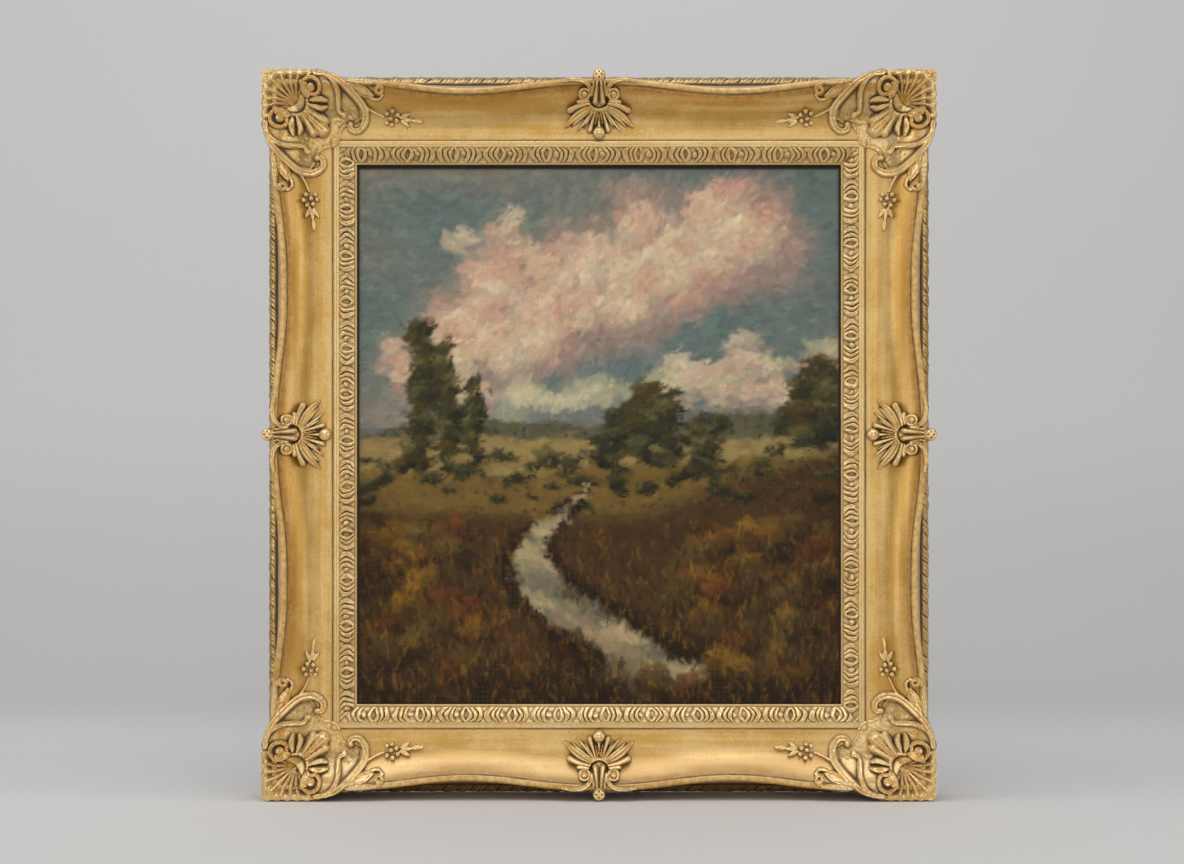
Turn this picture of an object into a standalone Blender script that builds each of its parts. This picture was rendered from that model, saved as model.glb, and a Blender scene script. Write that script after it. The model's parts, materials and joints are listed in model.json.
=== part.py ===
"""Oil landscape on a stretched canvas, in a gilt swept frame with cast ornaments.

The picture faces -Y and stands upright along Z. The origin lies on the flat back
of the top rail, at its centre, where the frame meets the wall.

Frame sections are drawn with two measures: "inward" runs from the frame's outer
edge towards the picture, and "height" runs from the flat back towards the viewer.
"""
import math

import bpy
import bmesh
import numpy as np

# Picture and stretcher
CANVAS_WIDTH = 0.457
CANVAS_HEIGHT = 0.508
CANVAS_THICKNESS = 0.0012
STRETCHER_WIDTH = 0.040
STRETCHER_DEPTH = 0.018
STRETCHER_BEVEL = 0.003

# Gaps between pieces
JOINT_GAP = 0.0003
REBATE_CLEARANCE = 0.0015
ORNAMENT_CLEARANCE = 0.0005

# Sight slip: it laps over the canvas and sits on a ledge of the rails
REBATE_LAP = 0.006
SLIP_WIDTH = 0.0215
SLIP_LEDGE_HEIGHT = 0.020
SHOULDER_HEIGHT = 0.0275
SIGHT_EDGE_HEIGHT = 0.0312
SIGHT_FILLET_WIDTH = 0.0032
SLIP_FILLET_WIDTH = 0.0065
SLIP_TOP_HEIGHT = 0.038
BAND_BULGE = 0.0021
BAND_LEAN = 0.0006
BAND_STEPS = 5
QUIRK = 0.0004

# Rail section
RAIL_WIDTH = 0.061
STEP_HEIGHT = 0.0366
COVE_POWER = 2.3
COVE_STEPS = 5
COVE_SPACING = 1.15
COVE_RISE = 0.0007
COVE_RISE_POWER = 4
LIP_HEIGHT = 0.0625
LIP_WIDTH = 0.0066
LIP_CREST = 0.0026
LIP_FACE = 0.0072
BEAD_DROP = 0.0015
BEAD_QUIRK = 0.0009
BACK_MOULDING_HEIGHT = 0.0225
BACK_MOULDING_WIDTH = 0.0095
BACK_MOULDING_SIDE = 0.0090
BACK_EASE = 0.0010
NECK_QUIRK = 0.0020
NECK_POWER = 1.6
NECK_STEPS = 3

# Sweep of the lip along a rail
LIP_INSET = 0.0065
LIP_SWEEP = 0.0087
SWEEP_EASE = 0.108
SWEEP_END = 0.012
SWEEP_STEPS = 4
STATION_MARGIN = 0.2
CORNER_STRAIGHT = 0.0015

# Cast ornaments: their carving is drawn in steps, each a share of the width of the rail they fit
STEPS_PER_RAIL = 61.0
CORNER_REACH_STEPS = 146.0
CENTRE_HALF_WIDTH_STEPS = 35.5
ORNAMENT_PROUD = 0.0010
ORNAMENT_PLATE = 0.0015
ORNAMENT_EDGE = 0.0010
ORNAMENT_UNDERSIDE = 0.0510
CORNER_FILL = 0.0040
FILL_START = 0.3
FILL_EASE = 14.0
CARVING_GRID = 0.0015
CUT_MARGIN = 0.15
CORNER_FACES = 1310
CENTRE_FACES = 500

# Sizes that follow
SIGHT_WIDTH = CANVAS_WIDTH - 2 * REBATE_LAP
SIGHT_HEIGHT = CANVAS_HEIGHT - 2 * REBATE_LAP
OUTER_WIDTH = SIGHT_WIDTH + 2 * (RAIL_WIDTH + SLIP_WIDTH)
OUTER_HEIGHT = SIGHT_HEIGHT + 2 * (RAIL_WIDTH + SLIP_WIDTH)
REBATE_WALL = RAIL_WIDTH + SLIP_WIDTH - REBATE_LAP - REBATE_CLEARANCE
MOUNT_INWARD = REBATE_WALL / 2
PICTURE_CENTRE = (0.0, 0.0, MOUNT_INWARD - OUTER_HEIGHT / 2)
SWEEP_START = REBATE_WALL + CORNER_STRAIGHT
MITRE_GAP = JOINT_GAP / math.sqrt(2)
CARVING_STEP = RAIL_WIDTH / STEPS_PER_RAIL
CORNER_REACH = CORNER_REACH_STEPS * CARVING_STEP
CENTRE_HALF_WIDTH = CENTRE_HALF_WIDTH_STEPS * CARVING_STEP
SIDES = ("top", "right", "bottom", "left")


# Materials

def make_material(name, colour, roughness, metallic=0.0):
    """A plain Principled material."""
    material = bpy.data.materials.new(name)
    material.use_nodes = True
    shader = material.node_tree.nodes["Principled BSDF"]
    shader.inputs["Base Color"].default_value = (*colour, 1.0)
    shader.inputs["Roughness"].default_value = roughness
    shader.inputs["Metallic"].default_value = metallic
    material.diffuse_color = (*colour, 1.0)
    return material


# Mesh helpers

def add_object(name, mesh, material, location, turn=0.0, parent=None):
    """Link one mesh as a named object, turned about Y."""
    thing = bpy.data.objects.new(name, mesh)
    bpy.context.scene.collection.objects.link(thing)
    thing.location = location
    thing.rotation_euler = (0.0, turn, 0.0)
    if not mesh.materials:
        mesh.materials.append(material)
    thing.parent = parent
    return thing


def closed_mesh(name, points, faces, merge_flat=False):
    """A closed mesh with outward faces; flat neighbours may be merged."""
    mesh = bpy.data.meshes.new(name)
    mesh.from_pydata([tuple(point) for point in points], [], [tuple(face) for face in faces])
    shape = bmesh.new()
    shape.from_mesh(mesh)
    bmesh.ops.recalc_face_normals(shape, faces=shape.faces)
    if shape.calc_volume(signed=True) < 0:
        bmesh.ops.reverse_faces(shape, faces=shape.faces)
    if merge_flat:
        bmesh.ops.dissolve_limit(shape, angle_limit=math.radians(0.05), verts=shape.verts,
                                 edges=shape.edges)
        bmesh.ops.triangulate(shape, faces=shape.faces)
    shape.to_mesh(mesh)
    shape.free()
    mesh.shade_smooth()
    mesh.set_sharp_from_angle(angle=math.radians(35))
    return mesh


def swept_length(name, rings, merge_flat=True):
    """Skin a row of closed section rings and close both ends."""
    count = len(rings[0])
    points = np.concatenate(rings)
    faces = []
    for row in range(len(rings) - 1):
        for i in range(count):
            j = (i + 1) % count
            faces.append((row * count + i, row * count + j,
                          (row + 1) * count + j, (row + 1) * count + i))
    faces.append(tuple(range(count)))
    faces.append(tuple(range((len(rings) - 1) * count, len(rings) * count))[::-1])
    return closed_mesh(name, points, faces, merge_flat)


# Frame sections, as rows of (inward, height)

def ease(share):
    """A smooth rise from 0 to 1."""
    return 0.5 - 0.5 * np.cos(np.pi * np.clip(share, 0.0, 1.0))


def lip_offset(from_corner, from_centre):
    """How far the lip's outer edge stands in from the frame's outer edge."""
    dip = ease((from_corner - SWEEP_START) / SWEEP_EASE)
    dip = dip * ease((from_centre - SWEEP_END) / SWEEP_EASE)
    return LIP_INSET + LIP_SWEEP * dip


def sweep_stations(start):
    """Distances at which the lip's curve is cut into straight runs."""
    return start + SWEEP_EASE * np.arange(SWEEP_STEPS + 1) / SWEEP_STEPS


def face_section(lip):
    """Lip and cove, from the lip's outer edge to the step that holds the slip.

    The lip's nose is a quarter ellipse up to its crest, and its bead a second one down to the
    quirk. The cove falls as a power of the share that is left of its width.
    """
    nose = np.radians([0, 30, 60, 90])
    bead = np.radians([50, 90])
    start = lip + LIP_WIDTH + BEAD_QUIRK
    share = np.linspace(0.0, 1.0, COVE_STEPS + 1)
    floor = STEP_HEIGHT - COVE_RISE
    fall = LIP_HEIGHT - BEAD_DROP - BEAD_QUIRK - floor
    inward = np.concatenate([lip + LIP_CREST * (1 - np.cos(nose)),
                             lip + LIP_CREST + (LIP_WIDTH - LIP_CREST) * np.sin(bead),
                             start + (RAIL_WIDTH - start) * share ** COVE_SPACING])
    cove = floor + fall * (1 - share) ** COVE_POWER + COVE_RISE * share ** COVE_RISE_POWER
    height = np.concatenate([LIP_HEIGHT - LIP_FACE * (1 - np.sin(nose)),
                             LIP_HEIGHT - BEAD_DROP * (1 - np.cos(bead)), cove])
    return np.stack([inward, height], 1)


def rail_section(lip):
    """The whole closed section of a rail, for one place of the lip.

    The neck flares from the back moulding to the lip's outer edge, and the back moulding is a
    quarter ellipse over a straight side.
    """
    back = [(BACK_EASE, 0.0), (REBATE_WALL, 0.0), (REBATE_WALL, SLIP_LEDGE_HEIGHT),
            (RAIL_WIDTH, SLIP_LEDGE_HEIGHT)]
    face = face_section(lip)[::-1]
    neck_low = BACK_MOULDING_HEIGHT + NECK_QUIRK
    share = np.arange(NECK_STEPS - 1, -1, -1) / NECK_STEPS
    neck = np.stack([BACK_MOULDING_WIDTH + (lip - BACK_MOULDING_WIDTH) * share ** NECK_POWER,
                     neck_low + (LIP_HEIGHT - LIP_FACE - neck_low) * share], 1)
    turn = np.radians([90, 60, 30, 0])
    rise = BACK_MOULDING_HEIGHT - BACK_MOULDING_SIDE
    moulding = np.stack([BACK_MOULDING_WIDTH * (1 - np.cos(turn)),
                         BACK_MOULDING_SIDE + rise * np.sin(turn)], 1)
    return np.concatenate([back, face, neck, moulding, [(0.0, BACK_EASE)]])


def slip_section():
    """The closed section of the sight slip."""
    outer = RAIL_WIDTH + JOINT_GAP
    sight = RAIL_WIDTH + SLIP_WIDTH
    band_out = outer + SLIP_FILLET_WIDTH + QUIRK
    band_in = sight - SIGHT_FILLET_WIDTH - QUIRK
    below = [(outer, SLIP_LEDGE_HEIGHT + JOINT_GAP), (REBATE_WALL, SLIP_LEDGE_HEIGHT + JOINT_GAP),
             (REBATE_WALL, SHOULDER_HEIGHT), (sight, SHOULDER_HEIGHT)]
    edge = [(sight, SIGHT_EDGE_HEIGHT - QUIRK), (sight - QUIRK, SIGHT_EDGE_HEIGHT),
            (sight - SIGHT_FILLET_WIDTH, SIGHT_EDGE_HEIGHT + QUIRK)]
    share = np.linspace(0.0, 1.0, BAND_STEPS + 1)
    low = SIGHT_EDGE_HEIGHT - 0.5 * QUIRK
    high = SLIP_TOP_HEIGHT - 2 * QUIRK
    inward = band_in + (band_out - band_in) * share - BAND_LEAN * np.sin(np.pi * share)
    height = low + (high - low) * share + BAND_BULGE * np.sin(np.pi * share)
    fillet = [(outer + SLIP_FILLET_WIDTH, SLIP_TOP_HEIGHT), (outer + QUIRK, SLIP_TOP_HEIGHT),
              (outer, SLIP_TOP_HEIGHT - QUIRK)]
    return np.concatenate([below, edge, np.stack([inward, height], 1), fillet])


def place_section(section, along, half_outer):
    """Points of a section at distances along a rail, for the top side, about the picture's centre."""
    return np.stack([np.broadcast_to(along, len(section)), -section[:, 1],
                     half_outer - section[:, 0]], 1)


def mitred_end(section, half_length, side):
    """Distances along the rail at which each point of the section meets the 45 degree mitre."""
    return side * (half_length - section[:, 0] - MITRE_GAP)


def rail_mesh(name, half_length, half_outer):
    """One swept rail, mitred at both ends."""
    near_corner = half_length - sweep_stations(SWEEP_START)
    near_centre = sweep_stations(SWEEP_END)
    margin = STATION_MARGIN * SWEEP_EASE / SWEEP_STEPS
    near_centre = near_centre[near_centre < near_corner.min() - margin]
    half = np.concatenate([near_centre, near_corner[::-1]])
    places = np.concatenate([-half[::-1], half])
    end = rail_section(lip_offset(0.0, half_length))
    rings = [place_section(end, mitred_end(end, half_length, -1), half_outer)]
    for along in places:
        section = rail_section(lip_offset(half_length - abs(along), abs(along)))
        rings.append(place_section(section, along, half_outer))
    rings.append(place_section(end, mitred_end(end, half_length, 1), half_outer))
    return swept_length(name, rings)


def slip_mesh(name, half_length, half_outer):
    """One length of the sight slip, mitred at both ends."""
    section = slip_section()
    rings = [place_section(section, mitred_end(section, half_length, side), half_outer)
             for side in (-1, 1)]
    return swept_length(name, rings)


# Carving: each stroke is a ridge along a path, given as (path, half widths, crown, groove)

THINNEST_STROKE = 0.3
GROOVE_WIDTH = 0.28


def smooth_path(points, count=28):
    """A smooth curve through a few points."""
    points = np.array(points, float)
    guides = np.concatenate([[2 * points[0] - points[1]], points, [2 * points[-1] - points[-2]]])
    place = np.linspace(0.0, len(points) - 1 - 1e-9, count)
    i = place.astype(int)
    t = (place - i)[:, None]
    a, b, c, d = guides[i], guides[i + 1], guides[i + 2], guides[i + 3]
    return 0.5 * (2 * b + (c - a) * t + (2 * a - 5 * b + 4 * c - d) * t ** 2
                  + (3 * b - a - 3 * c + d) * t ** 3)


def spiral_path(centre, outer, inner, start, turns, count=40):
    """A spiral from its outer to its inner radius; angles in turns, positive from along to inward."""
    share = np.linspace(0.0, 1.0, count)
    angle = 2 * np.pi * (start + turns * share)
    radius = outer + (inner - outer) * share
    return np.stack([centre[0] + radius * np.cos(angle), centre[1] + radius * np.sin(angle)], 1)


def nearest(path, where):
    """Distance to a path and the share of its length at the nearest point, for each place."""
    best = np.full(len(where), 1e9)
    share = np.zeros(len(where))
    for k in range(len(path) - 1):
        run = path[k + 1] - path[k]
        t = np.clip(((where - path[k]) @ run) / (run @ run), 0.0, 1.0)
        distance = np.linalg.norm(where - path[k] - t[:, None] * run, axis=1)
        closer = distance < best
        best = np.where(closer, distance, best)
        share = np.where(closer, (k + t) / (len(path) - 1), share)
    return best, share


def width_along(widths, share):
    """Half width of a stroke: its three widths at root, middle and tip, joined by a parabola."""
    root, middle, tip = widths
    return (root * (1 - share) * (1 - 2 * share) + 4 * middle * share * (1 - share)
            + tip * share * (2 * share - 1))


def carve(strokes, where):
    """Inside measure (positive inside) and relief height of a set of strokes."""
    inside = np.full(len(where), -1e9)
    relief = np.zeros(len(where))
    for path, widths, crown, groove in strokes:
        distance, share = nearest(path, where)
        half = np.maximum(width_along(widths, share), THINNEST_STROKE)
        across = np.clip(distance / half, 0.0, 1.0)
        cut = groove * np.exp(-(across / GROOVE_WIDTH) ** 2)
        ridge = crown * np.sqrt(1 - across ** 2) * (1 - cut)
        inside = np.maximum(inside, half - distance)
        relief = np.maximum(relief, ridge)
    return inside, relief


def knob(centre, radius, crown):
    """A round boss, as a very short stroke."""
    spot = np.array([centre, (centre[0] + 0.01, centre[1])], float)
    return spot, (radius, radius, radius), crown, 0.0


def mirrored(strokes, swap):
    """Strokes with their mirror images: about the diagonal when swap is set, else across the axis."""
    turned = []
    for path, widths, crown, groove in strokes:
        other = path[:, ::-1] if swap else path * np.array([-1.0, 1.0])
        turned.append((other, widths, crown, groove))
    return strokes + turned


# Corner ornament, in steps along one rail and inward from the frame's outer corner

SHELL_HUB = (28.5, 28.5)
SHELL_RIBS = 9
SHELL_SPREAD = math.radians(160)
SHELL_SIDE_EASE = 0.12
SHELL_RIM = 1.4
SHELL_RIM_EASE = 1.2
BOWL_DEPTH = 2.2
BOSS_HEIGHT = 2.4
BOSS_SPREAD = 9.0
RIB_HEIGHT = 2.4
RIB_LENGTH = 24.0
RIB_LEAST = 0.2
BORDER_HEIGHT = 0.6
BORDER_WIDTH = 6.0
COLLAR_CENTRE = (28.0, 28.0)
COLLAR_RADIUS = 12.8
COLLAR_START = -0.03
COLLAR_TURNS = 0.31
COVER_RADIUS = 13.0
COVER_EASE = 2.0
VOLUTE = (44.3, 14.8)
LEAST_RELIEF = 0.05

# Outer edge of the casting: shallow scallops, a rounded corner, and a step back to the lip
SCALLOP_DEPTH = 0.35
SCALLOP_PERIOD = 9.0
CORNER_ROUNDING = 5.0
STEP_BACK_START = 48.0
STEP_BACK_LENGTH = 28.0

# Inner edge of the smooth cartouche: reach from the corner at turns from the diagonal, in degrees
CARTOUCHE_TURNS = (0, 3, 6.5, 10, 13.5, 16, 20, 26, 31, 38, 45)
CARTOUCHE_REACH = (93, 91.5, 88, 87.5, 90, 95, 98, 92, 81, 69, 60)


def corner_strokes():
    """Volutes, leaves, scrolls, husks and sprays on one side of the diagonal."""
    leaf = [
        (smooth_path([(40, 33), (49, 39), (57, 43.5)]), (1.6, 3.4, 1.4), 3.0, 0.35),
        (smooth_path([(41, 30), (50, 32.5), (58, 35)]), (1.6, 3.2, 1.4), 3.0, 0.35),
        (smooth_path([(42, 27), (52, 26), (61, 28)]), (1.5, 3.0, 1.2), 2.8, 0.35),
    ]
    scroll = [
        (spiral_path(VOLUTE, 8.7, 3.6, 0.33, 1.35), (2.6, 2.2, 1.6), 4.6, 0.2),
        knob(VOLUTE, 3.2, 4.4),
        (smooth_path([(49, 4), (60, 5), (69, 13), (73, 25), (71, 37)]), (3.0, 2.4, 1.5), 3.4, 0.3),
        knob((70.8, 38.6), 2.6, 3.6),
        (smooth_path([(57, 3.5), (68, 8.5), (80, 19.5), (89.5, 31), (91.5, 43), (85.5, 52),
                      (78, 51.5), (77.5, 47)], 44), (2.4, 4.2, 2.4), 4.8, 0.3),
    ]
    husk = [
        (smooth_path([(74, 12), (87, 18), (98, 22)]), (2.6, 5.4, 2.4), 3.2, 0.35),
        (smooth_path([(76, 9.6), (91, 11), (103, 11.6)]), (2.0, 3.2, 1.6), 3.4, 0.2),
        (spiral_path((104.5, 17.6), 4.2, 1.6, 0.75, 1.0, 24), (2.2, 2.0, 1.8), 4.0, 0.0),
        (smooth_path([(97, 24.5), (103.5, 25.5), (108.5, 22)], 16), (1.4, 1.8, 1.2), 3.0, 0.0),
    ]
    spray = [(smooth_path([(90, 30), (99, 36), (109, 40.5)]), (1.7, 1.5, 1.4), 2.2, 0.0)]
    for berry in ((111.0, 41.0), (115.0, 37.6), (119.8, 38.8), (116.0, 42.8), (121.0, 43.6),
                  (112.4, 46.4)):
        spray.append(knob(berry, 3.1, 3.2))
    for root, tip in (((122, 41.5), (131, 38.0)), ((124, 43.5), (132.5, 47.8)),
                      ((124, 42.5), (136, 42.8)), ((134, 43), (143.6, 44.4))):
        spray.append((smooth_path([root, tip], 8), (1.7, 2.2, 1.6), 2.6, 0.0))
    return leaf + scroll + husk + spray


def corner_carving(along, inward):
    """Inside measure and relief of the corner ornament, in steps."""
    where = np.stack([along, inward], 1)
    collar = spiral_path(COLLAR_CENTRE, COLLAR_RADIUS, COLLAR_RADIUS, COLLAR_START, COLLAR_TURNS, 24)
    middle = [(collar, (2.2, 2.4, 2.2), 3.8, 0.25),
              (smooth_path([(37.5, 37.5), (49, 49), (57.5, 57.5)]), (3.2, 7.4, 3.4), 3.6, 0.3)]
    inside, relief = carve(middle + mirrored(corner_strokes(), swap=True), where)

    proud = ORNAMENT_PROUD / CARVING_STEP
    inset = LIP_INSET / CARVING_STEP
    both = np.stack([along, inward])
    edge = -proud + SCALLOP_DEPTH * np.cos(2 * np.pi * both / SCALLOP_PERIOD)
    edge = edge + (inset + proud) * ease((both - STEP_BACK_START) / STEP_BACK_LENGTH)
    room = np.stack([inward - edge[0], along - edge[1]])
    outer = CORNER_ROUNDING - np.hypot(*np.maximum(CORNER_ROUNDING - room, 0.0))
    turn = np.abs(np.arctan2(inward + 1e-9, along + 1e-9) - np.pi / 4)
    reach = np.interp(turn, np.radians(CARTOUCHE_TURNS), CARTOUCHE_REACH)
    ground = np.minimum(outer, reach - np.hypot(along, inward))

    offset = where - np.array(SHELL_HUB)
    distance = np.hypot(offset[:, 0], offset[:, 1])
    swing = np.arctan2(offset[:, 0] - offset[:, 1], -(offset[:, 0] + offset[:, 1]))
    rib = np.abs(np.cos(np.pi * SHELL_RIBS * swing / SHELL_SPREAD))
    in_shell = ease((SHELL_SPREAD / 2 - np.abs(swing)) / SHELL_SIDE_EASE)
    in_shell = in_shell * ease((outer - SHELL_RIM) / SHELL_RIM_EASE)
    boss = BOSS_HEIGHT * np.exp(-(distance / BOSS_SPREAD) ** 2)
    bowl = boss - BOWL_DEPTH + RIB_HEIGHT * rib * np.clip(distance / RIB_LENGTH, RIB_LEAST, 1.0)
    shell = in_shell * bowl + (1 - in_shell) * BORDER_HEIGHT * (outer < BORDER_WIDTH)
    from_collar = np.hypot(along - COLLAR_CENTRE[0], inward - COLLAR_CENTRE[1])
    covered = ease((COVER_RADIUS - from_collar) / COVER_EASE)
    toward_corner = np.maximum((np.abs(swing) < SHELL_SPREAD / 2).astype(float), covered)
    ground_relief = shell * toward_corner
    raised = np.where(relief > LEAST_RELIEF, np.maximum(relief, ground_relief), ground_relief)
    return np.maximum(inside, ground), raised, ground


# Centre ornament, in steps across the rail's middle and inward from the outer edge

def centre_carving(across, inward):
    """Inside measure and relief of the centre ornament, in steps."""
    where = np.stack([across, inward], 1)
    sides = [
        (smooth_path([(2.0, 7), (2.2, 14), (1.9, 22)], 12), (2.0, 2.1, 1.9), 3.2, 0.0),
        (smooth_path([(6.4, 8), (4.6, 13), (5.0, 21)], 14), (1.4, 1.6, 1.4), 2.6, 0.0),
        (smooth_path([(33, 10.5), (24, 9.2), (15, 10.2), (9, 14.0), (7.6, 20)], 24),
         (1.6, 2.2, 1.9), 2.4, 0.2),
        (spiral_path((12.3, 20.0), 4.4, 2.6, 0.5, -1.1, 28), (1.9, 1.8, 1.4), 3.6, 0.0),
        knob((12.3, 20.0), 1.9, 3.4),
        (smooth_path([(2.2, 34), (5.0, 43), (8.0, 52.5)], 14), (1.3, 2.1, 2.1), 2.6, 0.3),
        (smooth_path([(4.6, 33), (12, 43.5), (19.5, 53)], 16), (1.3, 2.2, 0.7), 2.4, 0.3),
        (smooth_path([(7.4, 31), (19, 36.5), (30.5, 47)], 20), (2.2, 4.9, 1.2), 3.0, 0.4),
        (smooth_path([(8.6, 28.5), (18, 31), (26.5, 34.5)], 16), (1.6, 2.5, 2.0), 3.0, 0.3),
        (smooth_path([(9.2, 26), (14, 27), (19.0, 28)], 12), (1.4, 1.9, 1.6), 2.6, 0.0),
    ]
    middle = [
        knob((0.0, 3.9), 4.9, 4.2),
        (smooth_path([(0, 6), (0, 24)], 8), (5.2, 4.6, 4.8), 1.4, 0.0),
        (spiral_path((0.0, 25.4), 8.4, 8.4, 0.0, 0.5, 24), (1.4, 1.5, 1.4), 3.2, 0.0),
        (smooth_path([(0, 34.5), (0, 44), (0, 54.6)], 20), (2.0, 3.0, 5.4), 3.6, 0.15),
        (smooth_path([(0, 27), (0, 44)], 8), (9.5, 9.0, 7.0), 0.6, 0.0),
    ]
    return carve(middle + mirrored(sides, swap=False), where)


# Ornament bodies: a carved face over a seat that follows the rail

def offset_row(points, gap):
    """A row of points moved outwards by a gap, square to its runs."""
    runs = np.diff(points, axis=0)
    normals = np.stack([-runs[:, 1], runs[:, 0]], 1) / np.linalg.norm(runs, axis=1)[:, None]
    corner = np.concatenate([[normals[0]], normals[:-1] + normals[1:], [normals[-1]]])
    corner = corner / np.linalg.norm(corner, axis=1)[:, None]
    reference = np.concatenate([normals, [normals[-1]]])
    return points + gap * corner / np.sum(corner * reference, axis=1)[:, None]


def seat_row(lip):
    """Underside of an ornament, from its outer rim over lip and cove onto the slip."""
    face = face_section(lip)
    raised = offset_row(face, ORNAMENT_CLEARANCE)
    raised[0, 0] = lip - ORNAMENT_CLEARANCE
    rim = [(-2 * ORNAMENT_PROUD, ORNAMENT_UNDERSIDE),
           (raised[0, 0] - JOINT_GAP, ORNAMENT_UNDERSIDE)]
    on_slip = SLIP_TOP_HEIGHT + ORNAMENT_CLEARANCE
    step = [(RAIL_WIDTH + JOINT_GAP - ORNAMENT_CLEARANCE, on_slip),
            (RAIL_WIDTH + SLIP_FILLET_WIDTH, on_slip)]
    keep = raised[raised[:, 0] < step[0][0] - JOINT_GAP]
    return np.concatenate([rim, keep, step])


def fill_row(row):
    """The row with its long runs divided, always into the same number of points."""
    reference = seat_row(LIP_INSET)
    filled = []
    for k in range(len(row) - 1):
        parts = max(1, math.ceil((reference[k + 1, 0] - reference[k, 0]) / CARVING_GRID))
        share = np.arange(parts)[:, None] / parts
        filled.append(row[k] + (row[k + 1] - row[k]) * share)
    filled.append(row[-1:])
    return np.concatenate(filled)


def crest_of(row):
    """Height of a seat row where the ornament drapes over it: never below the lip's crest outside it."""
    top = int(np.argmax(row[:, 1]))
    draped = row[:, 1].copy()
    draped[:top] = row[top, 1]
    return draped


def body_from_grid(name, grid, inside, usable, faces_wanted):
    """Close the carved face and the seat into one body, cut at the outline where inside is zero.

    The grid gives places along and inward, the seat's height and the face's. Each of its cells is
    two triangles. Where the outline crosses an edge, the cut is placed by the inside measure at
    the edge's two ends. The second value returned is the share of faces to keep.
    """
    rows, columns = inside.shape
    flat = inside.ravel()
    points, lookup = [], {}
    fields = np.stack([field.ravel() for field in grid], 1)

    def corner(i):
        if i not in lookup:
            lookup[i] = len(points)
            points.append(fields[i])
        return lookup[i]

    def cut(i, j):
        key = (min(i, j), max(i, j))
        if key not in lookup:
            share = flat[key[0]] / (flat[key[0]] - flat[key[1]])
            share = np.clip(share, CUT_MARGIN, 1 - CUT_MARGIN)
            lookup[key] = len(points)
            points.append(fields[key[0]] + (fields[key[1]] - fields[key[0]]) * share)
        return lookup[key]

    cells, rims = [], []
    for r in range(rows - 1):
        for c in range(columns - 1):
            if not usable[r, c]:
                continue
            a, b = r * columns + c, r * columns + c + 1
            d, e = (r + 1) * columns + c, (r + 1) * columns + c + 1
            for triangle in ((a, b, e), (a, e, d)):
                ring, crossing = [], []
                for k in range(3):
                    i, j = triangle[k], triangle[(k + 1) % 3]
                    if flat[i] > 0:
                        ring.append(corner(i))
                    if (flat[i] > 0) != (flat[j] > 0):
                        ring.append(cut(i, j))
                        crossing.append((ring[-1], flat[i] > 0))
                if len(ring) >= 3:
                    cells.append(ring)
                if len(crossing) == 2:
                    leaving = crossing[0] if crossing[0][1] else crossing[1]
                    entering = crossing[1] if crossing[0][1] else crossing[0]
                    rims.append((leaving[0], entering[0]))
    points = np.array(points)
    count = len(points)
    top = np.stack([points[:, 0], -points[:, 3], -points[:, 1]], 1)
    low = np.stack([points[:, 0], -points[:, 2], -points[:, 1]], 1)
    faces = [tuple(ring) for ring in cells]
    faces += [tuple(i + count for i in ring[::-1]) for ring in cells]
    faces += [(i, i + count, j + count, j) for i, j in rims]
    mesh = closed_mesh(name, np.concatenate([top, low]), faces)
    return mesh, faces_wanted / max(1, sum(len(face) - 2 for face in faces))


def corner_grid():
    """Places, seat and draped heights over the corner and its two arms.

    In the corner's square the lines of both rails' sections cross. Past it, the lines step along
    each arm and the rows follow the swept lip. The second arm mirrors the first.
    """
    square = fill_row(seat_row(LIP_INSET))
    size = len(square)
    extra = math.ceil((CORNER_REACH + 2 * CARVING_GRID - square[-1, 0]) / CARVING_GRID)
    grid = np.zeros((4, size + extra, size + extra))
    row, column = np.indices((size, size))
    level = np.minimum(row, column)
    grid[:, :size, :size] = (square[column, 0], square[row, 0], square[level, 1],
                             crest_of(square)[level])
    stations = sweep_stations(SWEEP_START)
    lips = lip_offset(stations, SWEEP_END + SWEEP_EASE)
    for k in range(extra):
        line = square[-1, 0] + CARVING_GRID * (k + 1)
        arm = fill_row(seat_row(float(np.interp(line, stations, lips))))
        grid[:, :size, size + k] = (np.full(size, line), arm[:, 0], arm[:, 1], crest_of(arm))
    grid[:, size:, :size] = grid[(1, 0, 2, 3), :size, size:].transpose(0, 2, 1)
    place = np.arange(size + extra - 1)
    usable = (place[:, None] < size - 1) | (place[None, :] < size - 1)
    return grid, usable


def corner_ornament_mesh():
    """The corner casting about the frame's outer corner, with its carved relief."""
    (along, inward, seat, drape), usable = corner_grid()
    carving = corner_carving(along.ravel() / CARVING_STEP, inward.ravel() / CARVING_STEP)
    inside, relief, ground = (field.reshape(along.shape) for field in carving)
    fill = ease(ground / FILL_EASE) * ease(np.minimum(along, inward) / (FILL_START * RAIL_WIDTH))
    face = drape + ORNAMENT_PLATE + CORNER_FILL * fill + relief * CARVING_STEP
    face = np.maximum(face, seat + ORNAMENT_EDGE)
    return body_from_grid("corner_ornament", (along, inward, seat, face), inside, usable, CORNER_FACES)


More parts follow.
